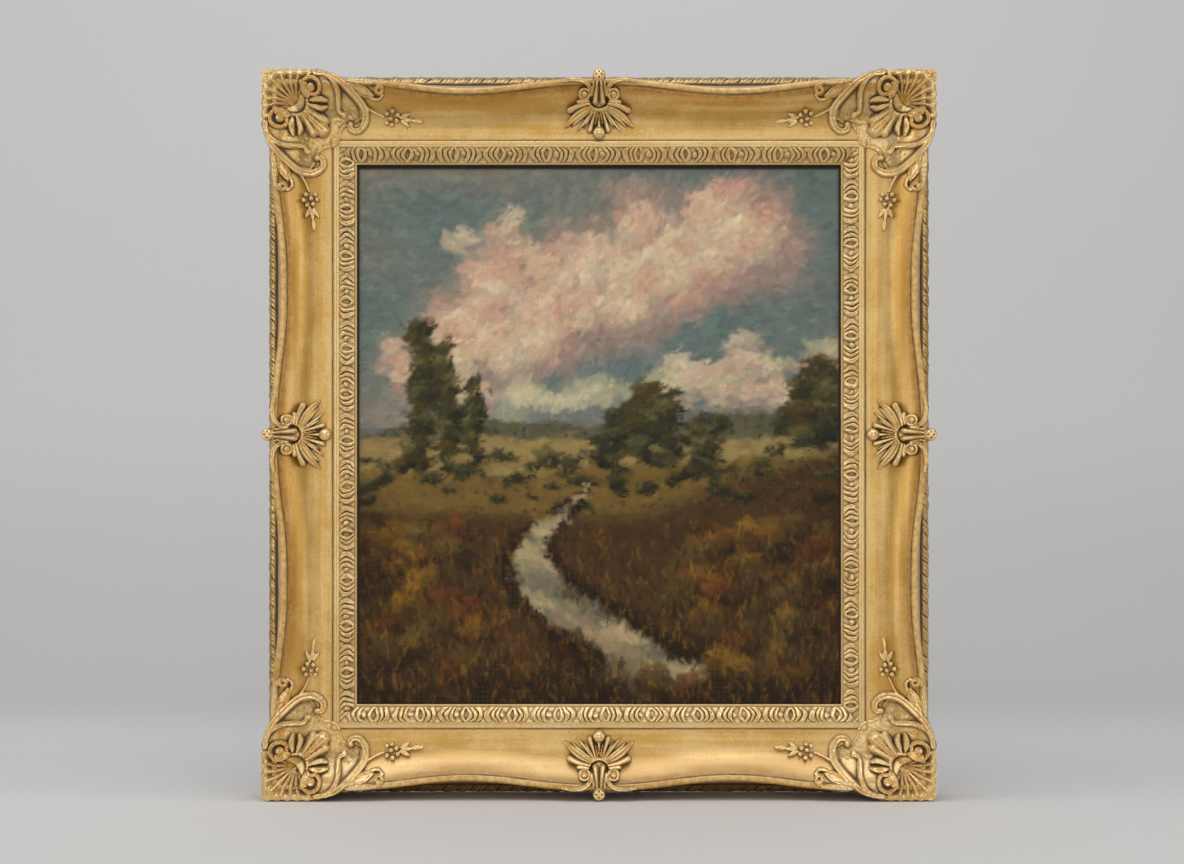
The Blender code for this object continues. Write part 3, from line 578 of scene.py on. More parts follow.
@dataclass
class Slip:
    """One mitred length of the sight slip, with the pressed ornament of its band."""

    side: Side
    layout: Layout
    section: SlipSection
    stations: int = 820
    rows: int = 23
    unit: float = 0.0425
    band_half: float = 0.0070
    depth: float = 0.0027
    lean_in: float = -0.35
    mitre_gap: float = 0.0001
    crests: tuple[Crest, ...] = (
        Crest(-2.72, 0.66, 0.33, 1.00), Crest(-1.98, 0.60, 0.25, 0.85),
        Crest(-1.36, 0.56, 0.24, 1.00), Crest(-0.26, -0.60, 0.27, 1.00),
        Crest(1.16, -0.56, 0.26, 0.95), Crest(1.80, -0.60, 0.24, 0.85),
        Crest(2.54, -0.66, 0.33, 1.00))
    button: tuple[float, float] = (0.46, 0.36)
    dirt_and_shade_blur: float = 2.2

    def noise(self, along: Array, across: Array, cell: float, seed: int) -> Array:
        """Slow noise over the band, from -1 to 1."""
        return face_noise(along, 2 * self.band_half * across, cell, seed + self.side.value)

    def ornament(self, along: Array, across: Array) -> Array:
        """Relief of the band, from 0 to about 1, in repeats of one unit.

        Measures are in half widths of the band, bent a little by slow noise. Each crest is a
        parabola across the band with a half-round section. Those of the left half bow one way
        and those of the right half the other, so that two of them close into an oval and the
        outermost touch those of the next unit. A button sits beside the oval.
        """
        bent = self.noise(along, across, 0.0055, 71)
        half_unit = 0.5 * self.unit / self.band_half
        p = ((along / self.unit + 0.5) % 1.0 - 0.5) * 2 * half_unit + 0.15 * bent
        v = 2 * across - 1 + 0.14 * self.noise(along, across, 0.0045, 81)
        top = np.sqrt(np.clip(1 - (np.hypot(p - self.button[0], v) / self.button[1]) ** 2, 0, 1))
        for crest in self.crests:
            line = np.abs(p - crest.place - crest.bow * v ** 2) / crest.thick
            split = 1 - 0.45 * np.exp(-(line / 0.22) ** 2) * (crest.thick > 0.30)
            top = np.maximum(top, crest.height * split * np.sqrt(np.clip(1 - line ** 3, 0, 1)))
        return top * (1 + 0.28 * self.noise(along, across, 0.0042, 91))

    def build(self, gilding: bpy.types.Material) -> None:
        """Carry the section from mitre to mitre, with the relief raised square to the band."""
        inward, height, across = self.section.outline(self.rows)
        half_length = self.layout.halves(self.side)[0]
        share = np.linspace(-1.0, 1.0, self.stations)
        along = share[:, None] * (half_length - inward[None, :] - self.mitre_gap)
        on_band = (across >= 0)[None, :]
        place_across = np.repeat(np.clip(across, 0, 1)[None, :], self.stations, axis=0)
        relief = self.ornament(along, place_across) * on_band
        rough = 0.12 * self.noise(along, np.repeat(inward[None, :], self.stations, 0), 0.0014, 31)
        lift = (relief * (1 + rough) - 0.5) * self.depth * on_band
        lift = lift * ease(np.minimum(place_across, 1 - place_across) / 0.10)
        deep = inward[None, :] + lift * self.lean_in
        raised = height[None, :] + lift * math.sqrt(1 - self.lean_in ** 2)
        place = columns_of(along, deep, raised)
        points = self.layout.put(self.side, along, deep, raised)
        polygons = sweep_polygons(self.stations, len(inward))
        # Dirt and painted shade: the band darkens in its low parts and along its edges. The rebate
        # below and the groove in the top fillet are darkened too.
        mean = blur(relief, self.dirt_and_shade_blur)
        hollow = np.clip((mean - relief) * 1.3 + 0.42 * (0.60 - relief), 0, 0.9) * on_band
        edge = np.where(across >= 0, np.exp(-np.minimum(across, 1 - across) / 0.04), 0.0)
        hollow = np.maximum(hollow, 0.5 * edge[None, :])
        hollow[:, 0:4] = 0.8
        hollow[:, -4] = 0.7
        wear_and_highlight = np.clip((relief - mean) * 3.0 - 0.5, 0, 1) * on_band
        bare = np.zeros(len(inward))
        bare[0:4] = 1.0
        fields = {"place": place, "hollow": hollow.ravel(), "wear_and_highlight": wear_and_highlight.ravel(),
                  "bare": np.tile(bare, self.stations)}
        piece = make_piece("sight_slip_" + self.side.word, points, polygons, fields, 60.0)
        dress(piece, gilding, "gilt_slip", "slip_" + self.side.word)


# Carving

@dataclass(frozen=True)
class Stroke:
    """A carved ridge along a path, in steps of the carving.

    Its half width passes through three values at root, middle and tip. Groove is the depth of a
    channel down its middle and channel that channel's share of the width. Flutes counts the
    hollows along each half of a leaf, veins its slanting cuts, and notch is how far they cut its
    edge. Dimple is a hollow at a berry's top. Fall is the power of its section: 0.5 is half
    round and 1 a parabola.
    """

    path: Array
    widths: tuple[float, float, float]
    crown: float
    groove: float = 0.0
    veins: int = 0
    notch: float = 0.0
    dimple: float = 0.0
    flutes: int = 0
    channel: float = 0.24
    fall: float = 0.8

    def mirrored(self, swap: bool) -> "Stroke":
        """The same stroke about the diagonal when swap is set, else across the axis."""
        return replace(self, path=self.path[:, ::-1] if swap else self.path * np.array([-1.0, 1.0]))


def smooth_path(points: list[tuple[float, float]], count: int = 28) -> Array:
    """A smooth curve through a few points: a cubic between each two, guided by their neighbours."""
    points = np.array(points, float)
    guides = np.concatenate([[2 * points[0] - points[1]], points, [2 * points[-1] - points[-2]]])
    place = np.linspace(0.0, len(points) - 1 - 1e-9, count)
    i = place.astype(int)
    t = (place - i)[:, None]
    a, b, c, d = guides[i], guides[i + 1], guides[i + 2], guides[i + 3]
    return 0.5 * (2 * b + (c - a) * t + (2 * a - 5 * b + 4 * c - d) * t ** 2
                  + (3 * b - a - 3 * c + d) * t ** 3)


def spiral_path(centre: tuple[float, float], outer: float, inner: float, start: float,
                turns: float, count: int = 40) -> Array:
    """A spiral whose radius runs evenly from outer to inner; start and turns are in whole turns."""
    share = np.linspace(0.0, 1.0, count)
    angle = 2 * np.pi * (start + turns * share)
    radius = outer + (inner - outer) * share
    return np.stack([centre[0] + radius * np.cos(angle), centre[1] + radius * np.sin(angle)], 1)


def knob(centre: tuple[float, float], radius: float, crown: float, dimple: float = 0.0) -> Stroke:
    """A round boss, as a very short stroke."""
    spot = np.array([centre, (centre[0] + 0.01, centre[1])], float)
    return Stroke(spot, (radius, radius, radius), crown, dimple=dimple, fall=0.5)


def curve(points: list[tuple[float, float]], widths: tuple[float, float, float], crown: float,
          groove: float = 0.0, count: int = 28, **cuts: float) -> Stroke:
    """A stroke along a smooth curve through a few points."""
    return Stroke(smooth_path(points, count), widths, crown, groove, **cuts)


def nearest(path: Array, where: Array) -> tuple[Array, Array]:
    """Distance to a path and the share of its length at the nearest point, for each place."""
    best = np.full(len(where), 1e9)
    share = np.zeros(len(where))
    for k in range(len(path) - 1):
        run = path[k + 1] - path[k]
        t = np.clip(((where - path[k]) @ run) / (run @ run), 0.0, 1.0)
        distance = np.linalg.norm(where - path[k] - t[:, None] * run, axis=1)
        closer = distance < best
        best = np.where(closer, distance, best)
        share = np.where(closer, (k + t) / (len(path) - 1), share)
    return best, share


def carve(strokes: list[Stroke], where: Array) -> tuple[Array, Array]:
    """Inside measure and relief height of a set of strokes, the highest one winning.

    A ridge is its crown times a power of one less the squared place across, less a bell-shaped
    groove. On a leaf a cosine across it hollows the flutes, and one along it, slanted by the
    place across, cuts the veins and the notched edge.

    Args:
        strokes: The strokes, in steps.
        where: Places along and inward, in steps.

    Returns:
        How far inside the strokes each place lies, below zero outside, and the relief there.
    """
    inside = np.full(len(where), -1e3)
    relief = np.zeros(len(where))
    for stroke in strokes:
        reach = max(stroke.widths) + 3.0
        low, high = stroke.path.min(0) - reach, stroke.path.max(0) + reach
        near = np.flatnonzero(((where > low) & (where < high)).all(1))
        distance, share = nearest(stroke.path, where[near])
        root, middle, tip = stroke.widths
        half = (root * (1 - share) * (1 - 2 * share) + 4 * middle * share * (1 - share)
                + tip * share * (2 * share - 1))
        wave = 0.5 + 0.5 * np.cos(2 * np.pi * (share * stroke.veins - 0.5))
        half = np.maximum(half * (1 - stroke.notch * (1 - wave)), 0.3)
        across = np.clip(distance / half, 0.0, 1.0)
        ridge = stroke.crown * (1 - across ** 2) ** stroke.fall
        ridge = ridge * (1 - stroke.groove * np.exp(-(across / stroke.channel) ** 2))
        ridge = ridge * (1 - stroke.dimple * np.exp(-(across / 0.36) ** 2))
        ridge = ridge * (0.80 + 0.20 * np.cos(2 * np.pi * stroke.flutes * across))
        if stroke.veins:
            cut = (0.5 + 0.5 * np.cos(2 * np.pi * (share * stroke.veins + 0.75 * across))) ** 3
            ridge = ridge * (1 - 0.34 * cut * np.clip(across * 3, 0, 1))
        inside[near] = np.maximum(inside[near], half - distance)
        relief[near] = np.maximum(relief[near], ridge)
    return inside, relief


def offset_row(points: Array, gap: float) -> Array:
    """A row of points moved outwards by a gap, square to its runs."""
    runs = np.diff(points, axis=0)
    normals = np.stack([-runs[:, 1], runs[:, 0]], 1) / np.linalg.norm(runs, axis=1)[:, None]
    corner = np.concatenate([[normals[0]], normals[:-1] + normals[1:], [normals[-1]]])
    corner = corner / np.linalg.norm(corner, axis=1)[:, None]
    reference = np.concatenate([normals, [normals[-1]]])
    return points + gap * corner / np.sum(corner * reference, axis=1)[:, None]


def cut_to_outline(inside: Array, usable: Array) -> tuple[Array, Array, Array, Array, Array]:
    """Cut a grid's triangles at the line where the inside measure is zero.

    Each cell is two triangles. One with all corners inside stays. One with a single corner
    inside keeps a small triangle there, and one with a single corner outside keeps a quad. A cut
    lies on its edge where the measure, taken as even along it, is zero.

    Args:
        inside: The inside measure over the grid.
        usable: Which cells exist.

    Returns:
        For each new point its two grid points and the share between them, then the triangles,
        and the edges of the rim in the direction of their triangles.
    """
    flat = inside.ravel()
    columns = inside.shape[1]
    r, c = np.nonzero(usable)
    a, b = r * columns + c, r * columns + c + 1
    d, e = a + columns, b + columns
    triangles = np.concatenate([np.stack([a, b, e], 1), np.stack([a, e, d], 1)])
    within = flat[triangles] > 0
    count = within.sum(1)
    whole = triangles[count == 3]

    def odd_first(chosen: Array, odd: Array) -> Array:
        first = np.argmax(odd, axis=1)
        order = (first[:, None] + np.arange(3)[None, :]) % 3
        return np.take_along_axis(chosen, order, axis=1)

    one = odd_first(triangles[count == 1], within[count == 1])
    two = odd_first(triangles[count == 2], ~within[count == 2])
    pairs = np.concatenate([one[:, [0, 1]], one[:, [0, 2]], two[:, [0, 1]], two[:, [0, 2]]])
    pairs = np.sort(pairs, axis=1)
    kept = np.unique(np.concatenate([whole.ravel(), one[:, 0], two[:, 1], two[:, 2]]))
    edges, which = np.unique(pairs, axis=0, return_inverse=True)
    which = which.ravel() + len(kept)
    lookup = np.full(len(flat), -1)
    lookup[kept] = np.arange(len(kept))
    sizes = np.cumsum([len(one), len(one), len(two), len(two)])
    one_a, one_b, two_a, two_b = np.split(which, sizes[:-1])
    share = flat[edges[:, 0]] / (flat[edges[:, 0]] - flat[edges[:, 1]])
    share = np.clip(share, 0.06, 0.94)
    new = np.concatenate([
        lookup[whole],
        np.stack([lookup[one[:, 0]], one_a, one_b], 1),
        np.stack([two_a, lookup[two[:, 1]], lookup[two[:, 2]]], 1),
        np.stack([two_a, lookup[two[:, 2]], two_b], 1)])
    rim = np.concatenate([np.stack([one_a, one_b], 1), np.stack([two_b, two_a], 1)])
    start = np.concatenate([kept, edges[:, 0]])
    end = np.concatenate([kept, edges[:, 1]])
    return start, end, np.concatenate([np.zeros(len(kept)), share]), new, rim


@dataclass
class Casting:
    """What both kinds of cast ornament share: they drape over the rail and end on the slip.

    Step is the carving's unit of length and grid the size of a cell. The two blurs, in cells,
    find the narrow and the broad hollows for the dirt and painted shade, and the crests for the
    wear and painted highlight. Flank shade is painted shade on the relief's steep flanks.
    """

    layout: Layout
    section: RailSection
    slip: SlipSection
    grid: float = 0.0009
    step: float = 0.001
    proud: float = 0.0010
    plate: float = 0.0009
    gain: float = 1.22
    front: float = 0.0691
    edge: float = 0.0010
    underside: float = 0.0510
    clearance: float = 0.0005
    sunk: float = 0.0012
    grain: float = 0.00015
    seat_end: float = 0.0065
    flank_shade: float = 0.70
    narrow_blur: float = 2.2
    broad_blur: float = 7.0

    def seat_row(self, lip: float) -> Array:
        """The line the casting follows: outer rim, lip and cove, and onto the slip's fillet."""
        fixed, gain, height, _ = self.section.face()
        raised = offset_row(np.stack([fixed + gain * lip, height], 1), self.clearance)
        raised[0, 0] = lip - self.clearance
        gap = self.slip.joint_gap
        rim = [(-2 * self.proud, self.underside), (raised[0, 0] - gap, self.underside)]
        on_slip = self.slip.top_height + self.clearance
        rail = self.section.rail_width
        ends = [(rail + gap - self.clearance, on_slip), (rail + self.seat_end, on_slip)]
        keep = fixed + gain * self.section.lip_inset < rail - 2.5 * self.clearance
        return np.concatenate([rim, raised[keep], ends])

    def fill_row(self, row: Array) -> Array:
        """The row with its long runs divided, always into the same number of points."""
        reference = self.seat_row(self.section.lip_inset)
        filled = []
        for k in range(len(row) - 1):
            run = reference[k + 1, 0] - reference[k, 0]
            parts = max(1, math.ceil(run / self.grid))
            share = np.arange(parts)[:, None] / parts
            filled.append(row[k] + (row[k + 1] - row[k]) * share)
        filled.append(row[-1:])
        return np.concatenate(filled)

    @staticmethod
    def crest_of(row: Array) -> Array:
        """Height where the casting drapes: never below the lip's crest outside it."""
        top = int(np.argmax(row[:, 1]))
        draped = row[:, 1].copy()
        draped[:top] = row[top, 1]
        return draped

    def close(self, kind: str, side: Side, shift: float, gilding: bpy.types.Material,
              grid: tuple[Array, ...], inside: Array, usable: Array, relief: Array) -> None:
        """Close the carved face and the sunk seat into one piece, cut at the outline.

        Args:
            kind: Corner or centre, for the names.
            side: The side it belongs to.
            shift: Added to the places along, to bring them to that side's middle.
            gilding: Its material.
            grid: Places along and inward, the seat's height and the face's.
            inside: Inside measure over the grid.
            usable: Which cells of the grid exist.
            relief: Carved relief in steps, for the dirt and painted shade in hollows and the wear
                and painted highlight on crests.
        """
        # Dirt and painted shade in the narrow and broad hollows, and painted shade on the steep
        # flanks.
        mean, wide = blur(relief, self.narrow_blur), blur(relief, self.broad_blur)
        slope = np.hypot(*np.gradient(relief)) * self.step / self.grid
        flank = self.flank_shade * ease((blur(slope, 0.8) - 0.7) / 1.5)
        hollow = np.clip((mean - relief) * 0.50 + (wide - relief) * 0.26 - 0.05 + flank, 0, 0.9)
        wear_and_highlight = np.clip((relief - mean) * 0.5 + (relief - wide) * 0.15, 0, 1)
        fields = columns_of(*grid, hollow, wear_and_highlight)
        start, end, share, triangles, rim = cut_to_outline(inside, usable)
        values = fields[start] + (fields[end] - fields[start]) * share[:, None]
        along, inward, seat, face, hollow, wear_and_highlight = values.T
        count = len(values)
        place = np.stack([along, inward, face], 1) + 7.0 * side.value
        face = face + self.grain * smooth_noise(place, 0.0018, 41)
        face = face + 1.3 * self.grain * smooth_noise(place, 0.009, 42)
        face = np.minimum(face, self.front)
        low_points = np.maximum(seat, 0.0)
        everything = [np.concatenate([along, along]) + shift, np.concatenate([inward, inward]),
                      np.concatenate([face, low_points])]
        points = self.layout.put(side, *everything)
        walls = np.stack([rim[:, 1], rim[:, 0], rim[:, 0] + count, rim[:, 1] + count], 1)
        polygons = [np.concatenate([triangles, triangles[:, ::-1] + count]), walls]
        # The walls down to the seat are dark all over: painted contact shadow and dirt where the
        # casting meets the rail.
        attributes = {
            "place": np.stack(everything, 1),
            "hollow": np.concatenate([hollow, np.full(count, 1.0)]),
            "wear_and_highlight": np.concatenate([wear_and_highlight, np.zeros(count)]),
            "bare": np.zeros(2 * count)}
        number = side.value + 1
        piece = make_piece("%s_casting_%d" % (kind, number), points, polygons, attributes, 65.0)
        dress(piece, gilding, "gilt_casting", "%s_ornament_%d" % (kind, number))

    def sink(self, row: Array) -> Array:
        """Heights of the underside: the rim stays free and the rest is bedded in the rail."""
        low = row[:, 1] - (self.clearance + self.sunk)
        return np.where(np.arange(len(row)) < 4, row[:, 1], low)


@dataclass
class CornerCasting(Casting):
    """The corner ornament: a shell with volutes, leaves, scrolls, husks and berry sprays."""

    reach: float = 0.146
    fill_depth: float = 0.0040
    fill_start: float = 0.3
    fill_ease: float = 14.0
    hub: tuple[float, float] = (28.5, 28.5)
    ribs: int = 9
    spread: float = math.radians(160)
    rim_inset: float = 3.5
    rim_rounding: float = 15.0
    bowl_depth: float = 2.6
    ridge_half: float = 1.9
    ridge_height: float = 3.0
    pit: tuple[float, float] = (1.5, 4.5)
    collar: tuple[float, float] = (28.0, 28.0)
    collar_radius: float = 11.2
    volute: tuple[float, float] = (44.3, 14.8)
    cartouche_turns: tuple[float, ...] = (0, 3, 6.5, 10, 13.5, 16, 20, 26, 31, 38, 45)
    cartouche_reach: tuple[float, ...] = (93, 91.5, 88, 87.5, 90, 95, 98, 92, 81, 69, 60)

    def strokes(self) -> list[Stroke]:
        """Volutes, leaves, scrolls, husks and sprays, with their mirror images."""
        leaf = [
            curve([(38, 34), (47, 39.6), (54.6, 43.6)], (2.0, 3.0, 4.2), 4.8, 0.2),
            curve([(40, 32), (48, 37.6), (54.0, 39.6)], (1.4, 1.8, 1.2), 2.4, 0.2),
            curve([(41, 29.6), (50, 32.4), (57, 31.4)], (1.6, 3.1, 1.2), 4.4, 0.3),
            curve([(42, 25.8), (50, 24.8), (57.5, 26.2)], (1.7, 3.1, 1.4), 4.4, 0.3),
        ]
        scroll = [
            Stroke(spiral_path(self.volute, 9.0, 5.4, 0.33, 1.25), (2.3, 2.1, 1.5), 4.8, 0.55,
                   channel=0.35),
            knob((self.volute[0] - 0.6, self.volute[1] + 0.8), 3.8, 5.6, 0.05),
            curve([(48, 2.8), (57, 4.2), (64.0, 9.5), (67.4, 19), (67.0, 29), (67.6, 35.6),
                   (72.6, 38.2)], (2.8, 2.6, 2.0), 4.4, 0.5, 40, channel=0.4),
            knob((72.0, 39.0), 2.6, 3.2, 0.6),
            curve([(57, 3.5), (68, 8.5), (80, 19.5), (89.5, 31), (91.5, 43), (85.5, 52),
                   (78, 51.5), (77.5, 47)], (2.4, 4.0, 2.6), 5.4, 0.5, 44, channel=0.4),
            knob((77.8, 47.2), 3.1, 5.4),
        ]
        husk = [
            curve([(74, 12), (87, 18), (98, 22)], (2.6, 5.4, 2.4), 3.4, 0.3, veins=2, notch=0.08,
                  flutes=1),
            curve([(76, 9.6), (91, 11), (103, 11.6)], (2.0, 3.2, 1.6), 3.4, 0.35, veins=6,
                  notch=0.08),
            Stroke(spiral_path((104.5, 17.6), 4.2, 1.6, 0.75, 1.0, 24), (2.2, 2.0, 1.8), 4.0, 0.45),
            curve([(97, 24.5), (103.5, 25.5), (108.5, 22)], (1.4, 1.8, 1.2), 3.0, 0.3, 16),
        ]
        spray = [curve([(90, 30), (99, 36), (108.5, 40.0)], (1.7, 1.3, 1.1), 2.2, 0.2)]
        for berry in ((111.2, 37.4), (116.3, 35.4), (120.8, 38.6), (114.8, 41.8), (119.8, 43.6),
                      (110.8, 45.6), (115.4, 47.2)):
            spray.append(knob(berry, 2.35, 4.2, 0.3))
        for root, tip in (((123, 41.0), (131.5, 37.6)), ((124, 44.0), (131.5, 48.4)),
                          ((125, 42.8), (133.5, 43.0)), ((134, 43.6), (143.8, 44.6))):
            spray.append(curve([root, tip], (1.3, 2.3, 1.1), 2.8, 0.3, 8))
        half = leaf + scroll + husk + spray
        band = spiral_path(self.collar, self.collar_radius, self.collar_radius, -0.03, 0.31, 24)
        middle = [
            Stroke(band, (1.7, 2.2, 1.7), 4.0, veins=7, notch=0.05),
            curve([(37.5, 37.5), (46, 46), (52, 52)], (2.6, 4.4, 6.8), 5.8, 0.25, channel=0.16),
            curve([(39, 36), (49, 42.6), (55, 48)], (1.4, 2.2, 2.4), 3.4),
            curve([(36, 39), (42.6, 49), (48, 55)], (1.4, 2.2, 2.4), 3.4),
        ]
        return middle + half + [stroke.mirrored(True) for stroke in half]

    @staticmethod
    def rounded(room: Array, rounding: float) -> Array:
        """Distance inside two edges whose corner is rounded, from the room to each edge."""
        return rounding - np.hypot(*np.maximum(rounding - room, 0.0))

    def shell(self, along: Array, inward: Array, room: Array) -> Array:
        """Relief of the shell, in steps: a bowl of flutes between thin ridges, in a raised rim.

        The rim is a rounded corner that bulges over each flute. The floor sinks from the rim as
        an eased share of the distance, with a pit at the hub. A ridge is a bell curve of the
        distance from the nearest of the lines that fan out from the hub and bend away from the
        diagonal.
        """
        offset = np.stack([along, inward], 1) - np.array(self.hub)
        distance = np.hypot(offset[:, 0], offset[:, 1])
        swing = np.arctan2(offset[:, 0] - offset[:, 1], -(offset[:, 0] + offset[:, 1]))
        pitch = self.spread / self.ribs
        fan = swing * (1.08 - 0.16 * (distance / self.hub[0]) ** 2) / pitch
        aside = np.abs(fan - np.round(fan))
        rim = self.rounded(room - self.rim_inset, self.rim_rounding) + 0.7 * np.sin(np.pi * aside)
        pit = self.pit[0] * np.exp(-(distance / self.pit[1]) ** 2)
        floor = -self.bowl_depth * ease(rim / 8.0) - pit
        width = self.ridge_half * (0.35 + 0.65 * distance / self.hub[0])
        ridge = np.exp(-(aside * pitch * distance / width) ** 2)
        ridge = self.ridge_height * ridge * ease((distance - 3.0) / 9.0) * ease((rim + 0.4) / 1.6)
        border = 0.8 + 0.4 * np.exp(-((rim + 0.9) / 0.9) ** 2)
        carved = np.where(rim > 0, floor + ridge, 0.0) + border * (1 - ease(rim / 2.6))
        return carved * ease((self.spread / 2 - np.abs(swing)) / 0.16)

    def ground(self, along: Array, inward: Array) -> tuple[Array, Array]:
        """The casting's plate without its strokes.

        Its outer edge is a shallow scallop, rounded at the corner, that steps back to the lip;
        its inner edge is a reach from the corner that varies with the turn from the diagonal
        and carries a thin raised bead.

        Returns:
            The plate's inside measure and its relief.
        """
        proud = self.proud / self.step
        inset = self.section.lip_inset / self.step
        both = np.stack([along, inward])
        edge = -proud + 0.35 * (1 + np.cos(2 * np.pi * both / 9.0))
        edge = edge + (inset + proud) * ease((both - 48.0) / 28.0)
        room = np.stack([inward - edge[0], along - edge[1]])
        outer = self.rounded(room, 5.0)
        turn = np.abs(np.arctan2(inward + 1e-9, along + 1e-9) - np.pi / 4)
        reach = np.interp(turn, np.radians(self.cartouche_turns), self.cartouche_reach)
        inner = reach - np.hypot(along, inward)
        plate = np.minimum(outer, inner)
        covered = np.hypot(along - self.collar[0], inward - self.collar[1])
        hidden = ease((self.collar_radius - covered) / 2.0)
        past = along + inward - 2 * self.hub[0]
        within = np.maximum(ease(-past / 4.0), hidden)
        bead = 1.4 * np.exp(-((inner - 1.1) / 0.9) ** 2)
        return plate, self.shell(along, inward, room) * within + bead

    def lines(self) -> tuple[Array, Array]:
        """Places, seat, face line over the corner's square and its two arms.

        In the square the lines of both rails' sections cross. Past it, lines step along each arm
        and follow the swept lip there. The second arm mirrors the first.
        """
        square = self.fill_row(self.seat_row(self.section.lip_inset))
        size = len(square)
        extra = math.ceil((self.reach + 2 * self.grid - square[-1, 0]) / self.grid)
        grid = np.zeros((4, size + extra, size + extra))
        row, column = np.indices((size, size))
        level = np.minimum(row, column)
        grid[:, :size, :size] = (square[column, 0], square[row, 0], self.sink(square)[level],
                                 self.crest_of(square)[level])
        for k in range(extra):
            line = square[-1, 0] + self.grid * (k + 1)
            lip = float(self.section.lip_offset(np.array(line), np.array(1.0)))
            arm = self.fill_row(self.seat_row(lip))
            grid[:, :size, size + k] = (np.full(size, line), arm[:, 0], self.sink(arm),
                                        self.crest_of(arm))
        grid[:, size:, :size] = grid[(1, 0, 2, 3), :size, size:].transpose(0, 2, 1)
        place = np.arange(size + extra - 1)
        usable = (place[:, None] < size - 1) | (place[None, :] < size - 1)
        return grid, usable

    def build(self, gilding: bpy.types.Material) -> None:
        """Carve the casting once and place it at the four corners."""
        (along, inward, seat, drape), usable = self.lines()
        x, y = along.ravel() / self.step, inward.ravel() / self.step
        inside, relief = carve(self.strokes(), np.stack([x, y], 1))
        plate, bowl = self.ground(x, y)
        raised = np.where(relief > 0.05, np.maximum(relief, bowl), bowl).reshape(along.shape)
        pitted = 0.10 * face_noise(x, y, 2.4, 51) + 0.15 * face_noise(x, y, 1.4, 52)
        open_field = (relief < 0.05) & (bowl > -0.3)
        stippled = raised + (pitted * open_field).reshape(along.shape)
        plate_grid = plate.reshape(along.shape)
        fill = ease(plate_grid / self.fill_ease)
        fill = fill * ease(np.minimum(along, inward) / (self.fill_start * self.section.rail_width))
        face = drape + self.plate + self.fill_depth * fill + stippled * self.gain * self.step
        face = np.maximum(face, seat + self.edge)
        outline = np.maximum(inside, plate).reshape(along.shape)
        for side in Side:
            self.close("corner", side, -self.layout.halves(side)[0], gilding,
                       (along, inward, seat, face), outline, usable, raised)


